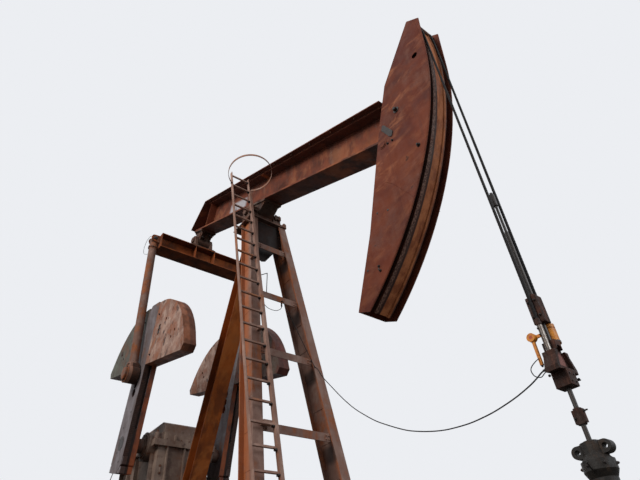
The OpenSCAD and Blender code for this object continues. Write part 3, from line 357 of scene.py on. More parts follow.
finishes = {
    "concrete": weathered("agedConcrete", paint=(168, 160, 147), worn=(148, 139, 126), cover=0.12,
                          rust=(136, 122, 105), rustDark=(102, 90, 77), rustLight=(156, 145, 127),
                          grime=(84, 74, 64), dust=(182, 174, 160), rough=0.92, pit=0.003, patch=1.2),
    "skid": weathered("skidSteel", paint=(112, 90, 78), cover=0.62, rust=(116, 62, 38)),
    "reducer": weathered("reducerPaint", paint=(140, 122, 110), worn=(122, 104, 94), cover=0.2,
                         runs=0.2, grimeShare=0.25, rust=(104, 66, 48), rustLight=(130, 92, 70), dust=(146, 128, 116),
                         patch=2.4, run=3.0, marks=caseMarks),
    "guard": weathered("guardPaint", paint=(136, 116, 102), worn=(114, 94, 82), cover=0.34, patch=2.0),
    "motor": weathered("motorPaint", paint=(122, 120, 115), worn=(104, 100, 95), cover=0.22, patch=3.4),
    "post": weathered("postSteel", paint=(150, 122, 110), worn=(132, 102, 90), cover=0.4,
                      rust=(138, 80, 50), rustLight=(170, 104, 66), rustDark=(88, 54, 42), patch=1.5,
                      marks=legMarks),
    "ladder": weathered("ladderSteel", paint=(166, 134, 120), worn=(146, 112, 98), cover=0.3,
                        rust=(150, 96, 68), rustLight=(176, 118, 84), rustDark=(98, 66, 54), patch=2.0,
                        grime=(110, 82, 70), under=0.3, dust=(176, 146, 130)),
    "cap": weathered("capSteel", paint=(138, 112, 100), worn=(110, 84, 74), cover=0.5, marks=capShadeBelow),
    "rearLeg": weathered("rearLegSteel", paint=(156, 104, 64), worn=(140, 84, 44), cover=0.86,
                         rust=(168, 86, 26), rustLight=(188, 110, 48), rustDark=(112, 56, 20),
                         dust=(166, 118, 76), patch=1.1, soft=0.09, marks=rearBlotchesAndShade),
    "bearing": weathered("bearingIron", paint=(112, 90, 78), cover=0.55, patch=4.0, rust=(92, 56, 42),
                         rustDark=(46, 31, 26), rustLight=(134, 92, 70)),
    "beam": weathered("beamSteel", paint=(122, 92, 80), worn=(100, 70, 58), cover=0.84, runs=0.4,
                      rust=(118, 60, 40), rustDark=(76, 39, 28), rustLight=(152, 88, 56),
                      grimeShare=0.5, patch=1.4, marks=beamMarks),
    "head": weathered("headSteel", paint=(112, 58, 34), worn=(102, 48, 28), cover=0.82, runs=0.3,
                      rust=(98, 40, 21), rustDark=(74, 29, 17), rustLight=(116, 52, 28),
                      grimeShare=0.3, patch=1.0, soft=0.1, marks=headMarks),
    "track": weathered("trackSteel", paint=(126, 92, 74), worn=(106, 72, 56), cover=0.6, runs=0.4,
                       rust=(112, 58, 38), rustDark=(62, 33, 24), rustLight=(142, 84, 56),
                       patch=2.2, marks=trackMarks),
    "pitman": weathered("pitmanSteel", paint=(142, 114, 102), worn=(122, 92, 80), cover=0.42,
                        rust=(134, 78, 46), rustLight=(164, 100, 60), patch=2.6),
    "equalizer": weathered("equalizerSteel", paint=(132, 96, 76), cover=0.82, rust=(148, 76, 34),
                           rustLight=(172, 98, 48), rustDark=(86, 44, 24), patch=2.0, grime=(30, 20, 16)),
    "crank": weathered("crankPaint", paint=(124, 118, 122), worn=(106, 98, 100), cover=0.25,
                       rust=(108, 74, 58), rustDark=(66, 48, 42), rustLight=(140, 104, 84),
                       dust=(136, 130, 132), patch=2.4, marks=crankMarks),
    "weightPale": weathered("weightBeige", paint=(176, 148, 134), worn=(154, 118, 102), cover=0.38,
                            rust=(136, 88, 66), rustDark=(88, 56, 44), rustLight=(164, 116, 92),
                            dust=(184, 160, 146), patch=2.8, soft=0.04, pit=0.003,
                            marks=rimMarks(tone(150, 92, 64), tone(104, 58, 40))),
    "weightGreen": weathered("weightGreen", paint=(98, 102, 90), worn=(84, 84, 74), cover=0.28,
                             rust=(98, 66, 52), rustDark=(58, 40, 34), rustLight=(124, 94, 76),
                             dust=(112, 114, 102), patch=2.6, pit=0.003,
                             marks=rimMarks(tone(92, 66, 52), tone(72, 48, 38))),
    "weightRed": weathered("weightDull", paint=(98, 92, 82), worn=(90, 74, 66), cover=0.45,
                           rust=(92, 50, 40), rustDark=(58, 33, 28), rustLight=(118, 76, 60),
                           dust=(112, 100, 88), patch=2.6, pit=0.003,
                           marks=rimMarks(tone(96, 44, 36), tone(80, 36, 30))),
    "cable": None,
    "carrier": weathered("carrierSteel", paint=(64, 44, 36), worn=(52, 36, 31), cover=0.62, rust=(58, 33, 25),
                         rustDark=(32, 21, 18), rustLight=(104, 66, 52), dust=(96, 74, 64), patch=8,
                         run=26, edge=0.003, marks=pocketMarks),
    "cell": None,
    "rod": None,
    "well": weathered("wellheadIron", paint=(34, 30, 26), worn=(24, 21, 19), cover=0.4,
                      rust=(46, 33, 25), rustDark=(17, 15, 13), rustLight=(70, 54, 40),
                      dust=(50, 42, 34), dustShare=0.15, patch=6, run=24, rough=0.62),
    "wrist": weathered("wristIron", paint=(142, 90, 62), cover=0.6, rust=(138, 78, 46), rustDark=(80, 46, 30),
                       rustLight=(168, 110, 76), patch=7, marks=wristMarks),
    "rack": weathered("rackSteel", paint=(68, 48, 40), worn=(54, 39, 33), cover=0.6, rust=(66, 42, 33),
                      rustDark=(37, 26, 22), rustLight=(90, 60, 47), dust=(84, 66, 57), patch=8),
    "bare": weathered("bareSteel", paint=(196, 188, 180), worn=(170, 160, 150), cover=0.15, rust=(130, 100, 80),
                      dust=(190, 176, 164), patch=20, rough=0.45, metal=0.3, edge=0.0, marks=spacerMarks),
    "black": weathered("blackSteel", paint=(44, 38, 36), worn=(32, 28, 27), cover=0.3,
                       rust=(60, 38, 30), rustDark=(24, 20, 19), rustLight=(86, 58, 44),
                       dust=(76, 64, 58), patch=12, run=40, rough=0.6, edge=0.0),
    "bolt": weathered("boltSteel", paint=(104, 82, 71), worn=(82, 62, 53), cover=0.6,
                      rust=(92, 54, 38), rustDark=(50, 33, 26), rustLight=(136, 90, 62),
                      patch=10, run=40, rough=0.66, edge=0.0),
}


def cableSkin():
    s = Shader("cableBlack")
    fine = s.noise(120, 4, 0.6)
    broad = s.noise(6, 5, 0.6)
    colour = s.mix(broad.rise(0.4, 0.7), tone(17, 15, 16), tone(28, 24, 23))
    s.feed("Base Color", s.mix(fine.rise(0.6, 0.8) * 0.4, colour, tone(48, 38, 33)))
    s.feed("Roughness", fine * 0.3 + 0.5)
    s.surface.inputs["Specular IOR Level"].default_value = 0.2
    s.relief(fine, 0.001, 0.6)
    return s.material


def cellSkin():
    s = Shader("loadCellYellow")
    broad, fine = s.noise(16, 6, 0.62), s.noise(110, 5, 0.6)
    colour = s.mix(broad.rise(0.4, 0.65), tone(218, 138, 30), tone(190, 110, 22))
    colour = s.mix((broad * 0.5 + fine * 0.5).rise(0.55, 0.62), colour, tone(92, 56, 28))
    x, y, z = s.parts(s.place)
    boss = ((x - 4.536) ** 2 + (z - 2.58) ** 2) ** 0.5
    colour = s.mix(boss.fall(0.012, 0.018) * y.fall(-0.13, -0.1), colour, tone(170, 62, 22))
    s.feed("Base Color", s.mix(fine.rise(0.6, 0.8) * 0.4, colour, tone(120, 68, 24)))
    s.feed("Roughness", fine * 0.4 + 0.3)
    s.relief(fine, 0.0006, 0.6, 0.002)
    return s.material


def rodSkin():
    s = Shader("rodSteel")
    film, fine = s.noise(8, 5, 0.6, s.stretched(1, 1, 0.2)), s.noise(140, 4, 0.6)
    colour = s.mix(film.rise(0.38, 0.66), tone(52, 46, 42), tone(26, 21, 19))
    s.feed("Base Color", s.mix(fine.rise(0.5, 0.8) * 0.5, colour, tone(58, 38, 29)))
    s.feed("Roughness", film * 0.35 + 0.22)
    s.feed("Metallic", 0.4 - film.rise(0.42, 0.7) * 0.3)
    s.relief(fine, 0.0004, 0.5)
    return s.material


finishes["cable"], finishes["cell"], finishes["rod"] = cableSkin(), cellSkin(), rodSkin()
dressing = {
    "concrete": ["foundation"],
    "skid": ["skid_rail_near", "skid_rail_far", "skid_cross_members", "front_cross_beam", "reducer_pedestal",
             "motor_base", "brake_lever"],
    "reducer": ["reducer_case", "reducer_cover"],
    "guard": ["belt_guard"],
    "motor": ["motor"],
    "post": ["front_leg_near", "front_leg_far", "leg_braces"],
    "ladder": ["ladder", "ladder_hoop"],
    "cap": ["post_cap"],
    "rearLeg": ["rear_leg"],
    "bearing": ["saddle_bearings", "saddle_shaft", "tail_bearing", "equalizer_shaft", "bridle_pin",
                "crankshaft"],
    "wrist": ["wrist_bearing_near", "wrist_bearing_far"],
    "beam": ["walking_beam", "beam_cover_plate"],
    "head": ["head_plate_near", "head_plate_far", "head_frame"],
    "track": ["head_track"],
    "pitman": ["pitman_near", "pitman_far"],
    "equalizer": ["equalizer"],
    "crank": ["crank_arm_near", "crank_arm_far"],
    "weightPale": ["weight_near_front", "weight_far_rear"],
    "weightGreen": ["weight_near_rear"],
    "weightRed": ["weight_far_front"],
    "cable": ["signal_cable", "bridle_wrap", "bridle_lines"],
    "carrier": ["bridle_sockets", "carrier_bar", "rod_clamp"],
    "cell": ["load_cell"],
    "rod": ["polished_rod"],
    "well": ["casing_head", "pumping_tee", "stuffing_box"],
}
for finish, names in dressing.items():
    for name in names:
        nodes[name].data.materials.clear()
        nodes[name].data.materials.append(finishes[finish])
print("solids dressed")


class Maker:  # gathers the small parts of one piece, then makes it
    def __init__(self, place=ground):
        self.mesh = bmesh.new()
        self.place = place

    def put(self, points, faces):
        made = [self.mesh.verts.new(self.place @ Vector(p)) for p in points]
        for face in faces:
            self.mesh.faces.new([made[k] for k in face]).smooth = True

    def rings(self, loops, closed=True):  # skins a row of loops with the same number of points
        count = len(loops[0])
        points = [p for loop in loops for p in loop]
        faces = [(k * count + j, k * count + (j + 1) % count, (k + 1) * count + (j + 1) % count, (k + 1) * count + j)
                 for k in range(len(loops) - 1) for j in range(count)]
        if closed:
            faces += [tuple(range(count)), tuple((len(loops) - 1) * count + j for j in range(count))]
        self.put(points, faces)

    def spin(self, at, axis, profile, steps=20, turn=0.0):  # profile is radius and distance along the axis
        axis = Vector(axis).normalized()
        side = axis.orthogonal().normalized()
        other = axis.cross(side)
        spokes = [side * math.cos(turn + k * math.tau / steps) + other * math.sin(turn + k * math.tau / steps)
                  for k in range(steps)]
        self.rings([[Vector(at) + axis * h + spoke * max(r, 0.0002) for spoke in spokes] for r, h in profile])

    def block(self, low, high, edge=0.003):  # between any two opposite corners
        low, high = Vector(map(min, low, high)), Vector(map(max, low, high))
        size = high - low
        shape = self.place @ Matrix.Translation((low + high) / 2) @ Matrix.Diagonal((*size, 1))
        made = bmesh.ops.create_cube(self.mesh, size=1, matrix=shape)["verts"]
        edges = list({e for v in made for e in v.link_edges})
        bmesh.ops.bevel(self.mesh, geom=edges, offset=min(edge, min(size) * 0.3), segments=1, affect="EDGES")

    def slab(self, outline, low, high, flat="xz"):  # an outline pushed through from low to high
        where = {"xz": lambda p, d: (p[0], d, p[1]), "xy": lambda p, d: (p[0], p[1], d),
                 "yz": lambda p, d: (d, p[0], p[1])}[flat]
        self.rings([[where(p, d) for p in outline] for d in (low, high)])

    def bar(self, points, radius, sides=8, closed=True):
        points = [Vector(p) for p in points]
        heading = (points[1] - points[0]).normalized()
        side = heading.orthogonal().normalized()
        loops = []
        for k, point in enumerate(points):
            heading = (points[min(k + 1, len(points) - 1)] - points[max(k - 1, 0)]).normalized()
            side = (side - heading * side.dot(heading)).normalized()
            other = heading.cross(side)
            wide = radius(k) if callable(radius) else radius
            turns = [j * math.tau / sides for j in range(sides)]
            loops.append([point + (side * math.cos(a) + other * math.sin(a)) * wide for a in turns])
        self.rings(loops, closed)

    def seam(self, start, step, count, radius, sides=6):  # a straight weld or pipe of count points
        self.bar([Vector(start) + Vector(step) * k for k in range(count)], radius, sides)

    def bolt(self, at, axis, size=0.024, tail=0.4):
        turn = random.random()
        self.spin(at, axis, [(size * 1.05, 0), (size * 1.05, size * 0.14)], 14)
        self.spin(at, axis, [(size * 0.86, size * 0.14), (size * 0.86, size * 0.8), (size * 0.7, size * 0.92)], 6, turn)
        if tail:
            self.spin(at, axis, [(size * 0.48, size * 0.9), (size * 0.48, size * (0.9 + tail)),
                                 (size * 0.38, size * (1 + tail))], 10)

    def grid(self, xs, ys, z, axis, size=0.024, tail=0.4):  # the same bolt at each x and y
        for x in xs:
            for y in ys:
                self.bolt((x, y, z), axis, size, tail)

    def done(self, name, finish, body=None):
        bmesh.ops.recalc_face_normals(self.mesh, faces=self.mesh.faces)
        data = bpy.data.meshes.new(name)
        self.mesh.to_mesh(data)
        self.mesh.free()
        data.set_sharp_from_angle(angle=math.radians(34))
        data.materials.append(finishes[finish])
        thing = bpy.data.objects.new(name, data)
        bpy.context.scene.collection.objects.link(thing)
        if body:
            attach(thing, body)
        return thing


def smoothLine(points, steps):  # a smooth curve through the points
    points = [Vector(p) for p in points]
    points = [points[0] * 2 - points[1]] + points + [points[-1] * 2 - points[-2]]
    line = []
    for a, b, c, d in zip(points, points[1:], points[2:], points[3:]):
        for k in range(steps):
            t = k / steps
            line.append(0.5 * (2 * b + (c - a) * t + (2 * a - 5 * b + 4 * c - d) * t * t
                               + (3 * b - a - 3 * c + d) * t ** 3))
    return line + [points[-2]]


def lengthOf(line):
    return sum((b - a).length for a, b in zip(line, line[1:]))


def around(at, radius, count, start=0.0, flat="xz"):  # places evenly on a circle in that plane
    for k in range(count):
        a = (k + start) * math.tau / count
        x, other = radius * math.cos(a), radius * math.sin(a)
        yield Vector(at) + Vector((x, other, 0) if flat == "xy" else (x, 0, other))


def makeCord(name, it, body, steps, sides):
    line = smoothLine(it["route"], steps)
    maker = Maker()
    maker.bar(line, it["radius"], sides)
    cord = maker.done(name, "cable", body)
    lengthOf(line)


random.seed(11)

# The load cell's cable: from a brace down to the far front leg, then in a sag to the back of the carrier
signal = {
    "radius": 0.006, "steps": 5,
    "route": [  # the brace and the leg first, then the sag
        (0.5382, 0.064, 5.159), (0.5622, 0.064, 5.159), (0.5802, 0.068, 5.139), (0.5902, 0.076, 5.097),
        (0.6527, 0.2113, 4.7313), (0.7152, 0.3467, 4.3657), (0.7777, 0.482, 4.0), (0.815, 0.478, 3.962),
        (0.905, 0.452, 3.88), (1.04, 0.413, 3.71), (1.3, 0.371, 3.43),
        (1.545, 0.33, 3.18), (1.775, 0.293, 2.97), (2.0, 0.257, 2.8), (2.2, 0.225, 2.663), (2.4, 0.192, 2.55),
        (2.58, 0.162, 2.455), (2.75, 0.134, 2.374), (2.92, 0.107, 2.31), (3.08, 0.08, 2.258), (3.24, 0.055, 2.215),
        (3.39, 0.03, 2.185), (3.62, -0.007, 2.155), (3.8, -0.036, 2.148), (3.945, -0.06, 2.15), (4.09, -0.083, 2.162),
        (4.225, -0.1, 2.182), (4.365, -0.115, 2.215), (4.45, -0.122, 2.245), (4.51, -0.127, 2.272),
        (4.542, -0.128, 2.28), (4.562, -0.128, 2.28),
    ],
}


def makeSignalCable(it):
    line = smoothLine(it["route"], it["steps"])
    maker = Maker()
    maker.bar(line, it["radius"], 10)
    cable = maker.done("signalCable", "cable")
    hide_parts("signal_cable")
    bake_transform(cable)
    lengthOf(line)


makeSignalCable(signal)

# The bridle: two wire ropes laid from six strands, from the head's track down to the sockets
rope = {"x": 4.6203, "top": 7.4, "foot": 2.7403, "yTop": 0.112, "yFoot": 0.075, "radius": 0.016, "lay": 0.22,
        "strands": 6, "wrapDegrees": 4.7, "keep": 0.219, "step": 0.02}


def ropeLoops(line, sideways, it):
    loops, run = [], 0.0
    for k, point in enumerate(line):
        run += (line[k] - line[k - 1]).length if k else 0
        heading = (line[min(k + 1, len(line) - 1)] - line[max(k - 1, 0)]).normalized()
        other = heading.cross(sideways).normalized()
        side = other.cross(heading)
        ring = []
        for j in range(it["strands"] * 4):
            a = j * math.tau / (it["strands"] * 4)
            reach = it["radius"] * (0.8 + 0.2 * abs(math.sin(a * it["strands"] / 2)))
            a += run / it["lay"] * math.tau
            ring.append(point + (side * math.cos(a) + other * math.sin(a)) * reach)
        loops.append(ring)
    return loops


def makeBridle(it):
    lines, wrap = Maker(), Maker()
    for s in (-1, 1):
        top = Vector((it["x"], s * it["yTop"], it["top"]))
        foot = Vector((it["x"], s * it["yFoot"], it["foot"]))
        count = int((top - foot).length / it["step"])
        lines.rings(ropeLoops([top.lerp(foot, k / count) for k in range(count + 1)], Vector((0, 1, 0)), it))
        arc = []
        for k in range(24):
            a = math.radians(it["wrapDegrees"] * k / 23)
            arc.append(Vector((it["x"] * math.cos(a), s * it["yTop"], it["top"] + it["x"] * math.sin(a))))
        wrap.rings(ropeLoops(arc, Vector((0, 1, 0)), it))
    hanging = lines.done("bridleRopes", "cable", "post")
    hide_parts("bridle_lines")
    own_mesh(hanging)
    laid = wrap.done("bridleOnTrack", "cable")
    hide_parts("bridle_wrap")
    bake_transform(laid)


makeBridle(rope)

# The polished rod slides in the stuffing box, so its lower end stays there
rod = {"thick": 0.019, "thin": 0.014, "foot": 0.06, "step": 3.78, "coupling": (4.12, 4.29, 0.026), "top": 4.31,
       "slideFrom": 1.2, "slideTo": 1.83}


def makeRod(it):
    low, high, wide = it["coupling"]
    levels = [it["foot"] + (it["slideTo"] - it["foot"]) * k / 30 for k in range(31)]
    profile = [(it["thick"] - 0.003, levels[0])] + [(it["thick"], z) for z in levels[1:]]
    profile += [(it["thick"], it["step"] - 0.03), (it["thin"], it["step"]), (it["thin"], low), (wide - 0.003, low),
                (wide, low + 0.006), (wide, high - 0.006), (wide - 0.003, high), (it["thin"] + 0.004, high + 0.001),
                (it["thin"] + 0.002, it["top"])]
    maker = Maker()
    maker.spin((wellX, 0, 0), (0, 0, 1), profile, 28)
    piece = maker.done("polishedRod", "rod")
    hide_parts("polished_rod")
    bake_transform(piece)


makeRod(rod)
print("cables and rod made")


# Clamps that hold the skid down on the concrete
clamps = {"x": (-6.0, -4.7, -3.6, -2.2, -0.9, 0.4), "flange": 0.53, "concrete": 1.0, "top": 1.023, "thick": 0.02,
          "wide": 0.07, "outer": 0.625, "bolt": 0.572, "postBolts": ((0.9, 0.98), (1.15, 0.98))}


def makeClamps(it):
    maker = Maker()
    top, wide = it["top"], it["wide"]
    for x in it["x"]:
        for s in (-1, 1):
            inner, edge, outer = s * (it["flange"] - 0.04), s * (it["flange"] + 0.012), s * it["outer"]
            maker.block((x - wide, inner, top), (x + wide, outer, top + it["thick"]))
            maker.block((x - wide, edge, it["concrete"]), (x + wide, outer, top))
            maker.bolt((x, s * it["bolt"], top + it["thick"]), (0, 0, 1), 0.026, 1.4)
    for s in (-1, 1):
        for x, y in it["postBolts"]:
            maker.bolt((x, s * y, 1.022), (0, 0, 1), 0.03, 1.2)
    maker.done("skidClamps", "bolt", "post")


makeClamps(clamps)

# Fittings of the gear case
gear = {"top": 3.746, "low": 3.636, "side": 0.58, "from": -4.39, "to": -2.66, "pitch": 0.173, "shaftZ": 3.691,
        "hatch": ((-3.42, -0.25), (-2.95, 0.25)), "roof": 4.121}


def makeGearFittings(it):
    bolts, iron = Maker(), Maker()
    count = round((it["to"] - it["from"]) / it["pitch"])
    for s in (-1, 1):
        for k in range(count + 1):
            x = it["from"] + k * it["pitch"]
            if abs(x - crankX) < 0.26:
                continue
            bolts.bolt((x, s * it["side"], it["top"]), (0, 0, 1), 0.024)
            bolts.bolt((x, s * it["side"], it["low"]), (0, 0, -1), 0.024)
        for x in (crankX - 0.29, crankX + 0.29):
            iron.spin((x, s * 0.53, it["top"] - 0.005), (0, 0, 1), [(0.05, 0), (0.045, 0.13), (0.04, 0.14)], 20)
            bolts.bolt((x, s * 0.53, it["top"] + 0.135), (0, 0, 1), 0.032)
        iron.spin((crankX, s * 0.638, it["shaftZ"]), (0, s, 0),
                  [(0.225, 0), (0.225, 0.02), (0.215, 0.026), (0.165, 0.03), (0.15, 0.046)], 48)
        for spot in around((crankX, s * 0.664, it["shaftZ"]), 0.193, 10, 0.5):
            bolts.bolt(spot, (0, s, 0), 0.018, 0)
    for y in (-0.5, -0.36, -0.08, 0.08, 0.36, 0.5):
        bolts.bolt((-2.61, y, it["top"]), (0, 0, 1), 0.024)
        bolts.bolt((-2.61, y, it["low"]), (0, 0, -1), 0.024)
        bolts.bolt((-4.42, y, it["top"]), (0, 0, 1), 0.024)
    for x, r in ((-3.6, 0.15), (-4.05, 0.12)):
        iron.spin((x, -0.6, it["shaftZ"]), (0, -1, 0),
                  [(r, -0.002), (r, 0.016), (r - 0.01, 0.024), (r - 0.05, 0.03)], 36)
        for spot in around((x, -0.624, it["shaftZ"]), r - 0.024, 6):
            bolts.bolt(spot, (0, -1, 0), 0.012, 0)
    (x0, y0), (x1, y1) = it["hatch"]
    iron.block((x0, y0, it["roof"] - 0.002), (x1, y1, it["roof"] + 0.014))
    for k in range(4):
        for y in (y0 + 0.03, y1 - 0.03):
            bolts.bolt((x0 + 0.04 + k * (x1 - x0 - 0.08) / 3, y, it["roof"] + 0.014), (0, 0, 1), 0.014, 0)
    iron.spin((-4.05, 0, 4.076), (0, 0, 1), [(0.145, -0.01), (0.145, 0.025), (0.12, 0.04), (0.04, 0.05), (0.04, 0.11),
                                             (0.07, 0.115), (0.07, 0.15), (0.05, 0.165)], 28)
    for y, z, size in ((0.21, 2.98, 0.03), (-0.42, 3.18, 0.024), (-0.42, 3.3, 0.024), (0.42, 3.42, 0.02)):
        bolts.bolt((-2.64, y, z), (1, 0, 0), size, 0)
    iron.seam((-2.628, -0.42, 3.18), (0, 0, 0.02), 7, 0.009, 10)
    bolts.grid((-4.3, -3.9, -3.4, -2.8), (-0.53, 0.53), 2.871, (0, 0, 1), 0.03)
    for s in (-1, 1):
        for x in (-4.3, -3.7, -3.15):
            for z in (1.62, 2.05, 2.5):
                bolts.bolt((x, s * 0.408, z), (0, s, 0), 0.016, 0)
    bolts.done("gearBolts", "bolt", "post")
    iron.done("gearCaps", "reducer", "post")


makeGearFittings(gear)

# The rim of the belt guard, its latches and the brake on the input shaft
guard = {"front": (-4.05, 3.631, 0.56), "back": (-5.6, 2.01, 0.26), "low": 0.612, "high": 0.815, "bead": 0.011}


def guardOutline(it, grow=0.0):
    (x0, z0, r0), (x1, z1, r1) = it["front"], it["back"]
    along = math.atan2(z0 - z1, x0 - x1)
    lean = math.pi - math.acos((r1 - r0) / math.hypot(x0 - x1, z0 - z1))
    points = []
    for x, z, r, start, end in ((x0, z0, r0, along - math.pi + lean, along + math.pi - lean),
                                (x1, z1, r1, along + math.pi - lean, along + math.pi + lean)):
        for k in range(25):
            a = start + (end - start) * k / 24
            points.append((x + (r + grow) * math.cos(a), z + (r + grow) * math.sin(a)))
    return points


def makeGuardFittings(it):
    line = guardOutline(it)
    rim, drum, bolts = Maker(), Maker(), Maker()
    for y in (it["low"] + it["bead"], it["high"] - it["bead"]):
        rim.bar([(x, y, z) for x, z in line + line[:2]], it["bead"], 8)
    outer = guardOutline(it, 0.006)
    for k in range(3, len(outer), 7):
        x, z = outer[k]
        rim.block((x - 0.03, 0.68, z - 0.02), (x + 0.03, 0.75, z + 0.02))
    rim.done("guardRim", "guard", "post")
    drum.spin((-4.05, -0.62, crankZ), (0, -1, 0),
              [(0.06, 0), (0.06, 0.03), (0.19, 0.032), (0.2, 0.036), (0.2, 0.042), (0.188, 0.046), (0.188, 0.1),
               (0.2, 0.104), (0.2, 0.11), (0.05, 0.112)], 40)
    drum.bar([(-4.24, -0.69, 3.66), (-4.62, -0.66, 3.36), (-5.4, -0.56, 2.74), (-6.27, -0.445, 2.2)], 0.008, 8)
    drum.done("brakeDrum", "black", "post")
    bolts.bolt((-6.27, -0.445, 2.2), (0, -1, 0), 0.016)
    bolts.bolt((-6.15, -0.46, 1.57), (0, -1, 0), 0.02)
    bolts.grid((-6.19, -6.11), (-0.475, -0.385), 1.47, (0, 0, 1), 0.016)
    bolts.done("brakeBolts", "bolt", "post")


makeGuardFittings(guard)

# Cooling ribs, terminal lid and cable duct of the motor
engine = {"x": -5.6, "z": 2.01, "radius": 0.24, "ribs": 30, "tall": 0.02, "thick": 0.005}


def makeMotorFittings(it):
    maker, bolts = Maker(), Maker()
    for k in range(it["ribs"]):
        a = math.tau * k / it["ribs"]
        if math.cos(a - math.pi / 2) > 0.88 or math.cos(a + math.pi / 2) > 0.6:
            continue
        out, side = Vector((math.cos(a), math.sin(a))), Vector((-math.sin(a), math.cos(a))) * it["thick"] / 2
        centre = Vector((it["x"], it["z"]))
        low, high = centre + out * (it["radius"] - 0.004), centre + out * (it["radius"] + it["tall"])
        maker.slab([low - side, high - side * 0.6, high + side * 0.6, low + side], -0.31, 0.31)
    maker.block((it["x"] - 0.1, -0.12, 2.338), (it["x"] + 0.1, 0.12, 2.354))
    maker.spin((it["x"], -0.42, it["z"]), (0, -1, 0), [(0.228, -0.03), (0.228, 0.004), (0.2, 0.018), (0.06, 0.022)], 40)
    for r in (0.09, 0.12, 0.15, 0.18):
        ring = list(around((it["x"], -0.443, it["z"]), r, 32))
        maker.bar(ring + ring[:2], 0.003, 6)
    maker.done("motorRibs", "motor", "post")
    bolts.grid((it["x"] - 0.17, it["x"] + 0.17), (-0.25, 0.25), 1.85, (0, 0, 1), 0.02)
    bolts.grid((it["x"] - 0.08, it["x"] + 0.08), (-0.1, 0.1), 2.354, (0, 0, 1), 0.01, 0)
    bolts.bar(smoothLine([(-5.6, -0.11, 2.29), (-5.6, -0.2, 2.29), (-5.6, -0.36, 2.24), (-5.6, -0.47, 2.1),
                          (-5.6, -0.475, 1.8), (-5.6, -0.475, 1.55), (-5.6, -0.475, 1.452)], 6), 0.017, 12)
    bolts.done("motorBolts", "black", "post")


makeMotorFittings(engine)

# The post: bolts, the lugs beside the bearings, the clips under the rungs, wires
post = {"topX": 0.1211, "topY": 0.3167, "run": 0.1693, "splay": 0.0752, "top": 7.12, "cap": 7.14,
        "braces": (6.38, 5.194, 4.074, 2.88), "feet": (0.87, 1.19), "footTop": 1.48, "footY": 0.743,
        "bearingY": 0.265, "capBolts": (-0.3, -0.2, -0.06, 0.06, 0.16), "capY": 0.384, "ears": (7.352, 7.4),
        "earThick": 0.042}


def legSpot(z):
    return post["topX"] + post["run"] * (post["top"] - z), post["topY"] + post["splay"] * (post["top"] - z)


def makePostFittings(it):
    bolts, braceBolts = Maker(), Maker()
    for s in (-1, 1):
        bearing, foot = s * it["bearingY"], s * it["footY"]
        bolts.grid((-0.195, 0.195), (bearing - 0.045, bearing + 0.045), 7.2, (0, 0, 1), 0.03)
        for x in it["capBolts"]:
            bolts.bolt((x, s * it["capY"], it["cap"]), (0, 0, 1), 0.02)
            bolts.bolt((x, s * it["capY"], it["top"]), (0, 0, -1), 0.02)
        bolts.grid(it["feet"], (foot - 0.165, foot + 0.165), it["footTop"], (0, 0, 1), 0.034)
        bolts.grid((-3.021, -2.621), (s * 0.4, s * 0.49), it["footTop"], (0, 0, 1), 0.034)
        for z in it["braces"]:
            x, y = legSpot(z)
            for dy, dz in ((0.1, -0.025), (0.1, 0.025), (0.145, -0.025), (0.145, 0.025)):
                braceBolts.bolt((x + 0.091, s * (y - dy), z + dz), (1, 0, 0), 0.015)
                braceBolts.bolt((x + 0.079, s * (y - dy), z + dz - 0.01), (-1, 0, 0), 0.015, 0)
        for z in (6.9, 6.65, 6.4):
            bolts.bolt((0.174, s * (legSpot(z)[1] - 0.05), z), (1, 0, 0), 0.018)
    bolts.done("postBolts", "bolt", "post")
    braceBolts.done("braceBolts", "ladder", "post")
    ears = Maker()
    for s in (-1, 1):
        bearing = s * it["bearingY"]
        for x in (-1, 1):
            for low in it["ears"]:
                ears.block((x * 0.13, bearing - 0.07, low), (x * 0.2, bearing + 0.07, low + it["earThick"]))
            for y in (-0.04, 0.04):
                ears.bolt((x * 0.175, bearing + y, it["ears"][1] + it["earThick"]), (0, 0, 1), 0.022)
                ears.bolt((x * 0.175, bearing + y, it["ears"][0]), (0, 0, -1), 0.022, 0)
        ears.spin((0, s * 0.39, saddleZ), (0, s, 0), [(0.07, -0.002), (0.07, 0.01), (0.055, 0.014), (0.02, 0.016)], 28)
        ears.spin((0, bearing, 7.546), (0, 0, 1), [(0.014, -0.01), (0.014, 0.012), (0.008, 0.016), (0.008, 0.03)], 12)
    ears.done("saddleCapEars", "bearing", "post")
    lugs = Maker()
    for s in (-1, 1):
        x = 0.246
        y, r = s * 0.37, 0.042
        crown = [(y + r * math.cos(k * math.pi / 12), 7.2 + r * math.sin(k * math.pi / 12)) for k in range(13)]
        lugs.slab([(y + r, 7.139)] + crown + [(y - r, 7.139)], x, x + 0.018, "yz")
        lugs.spin((x + 0.018, s * 0.37, 7.196), (1, 0, 0), [(0.021, -0.001), (0.021, 0.003), (0.012, 0.004)], 20)
    for z in (6.9, 6.4, 5.9, 5.4, 4.9, 4.4, 3.9, 3.4, 2.9, 2.4, 1.9):
        for s in (-1, 1):
            x, y = legSpot(z)
            x -= 0.1
            lugs.block((x - 0.1, s * y - 0.012, z - 0.05), (x + 0.12, s * y + 0.012, z - 0.038), 0.002)
    lugs.done("postLugs", "post", "post")


makePostFittings(post)

rungs = {"count": 22, "pitch": 0.3048, "inner": 0.182, "outer": -0.182}


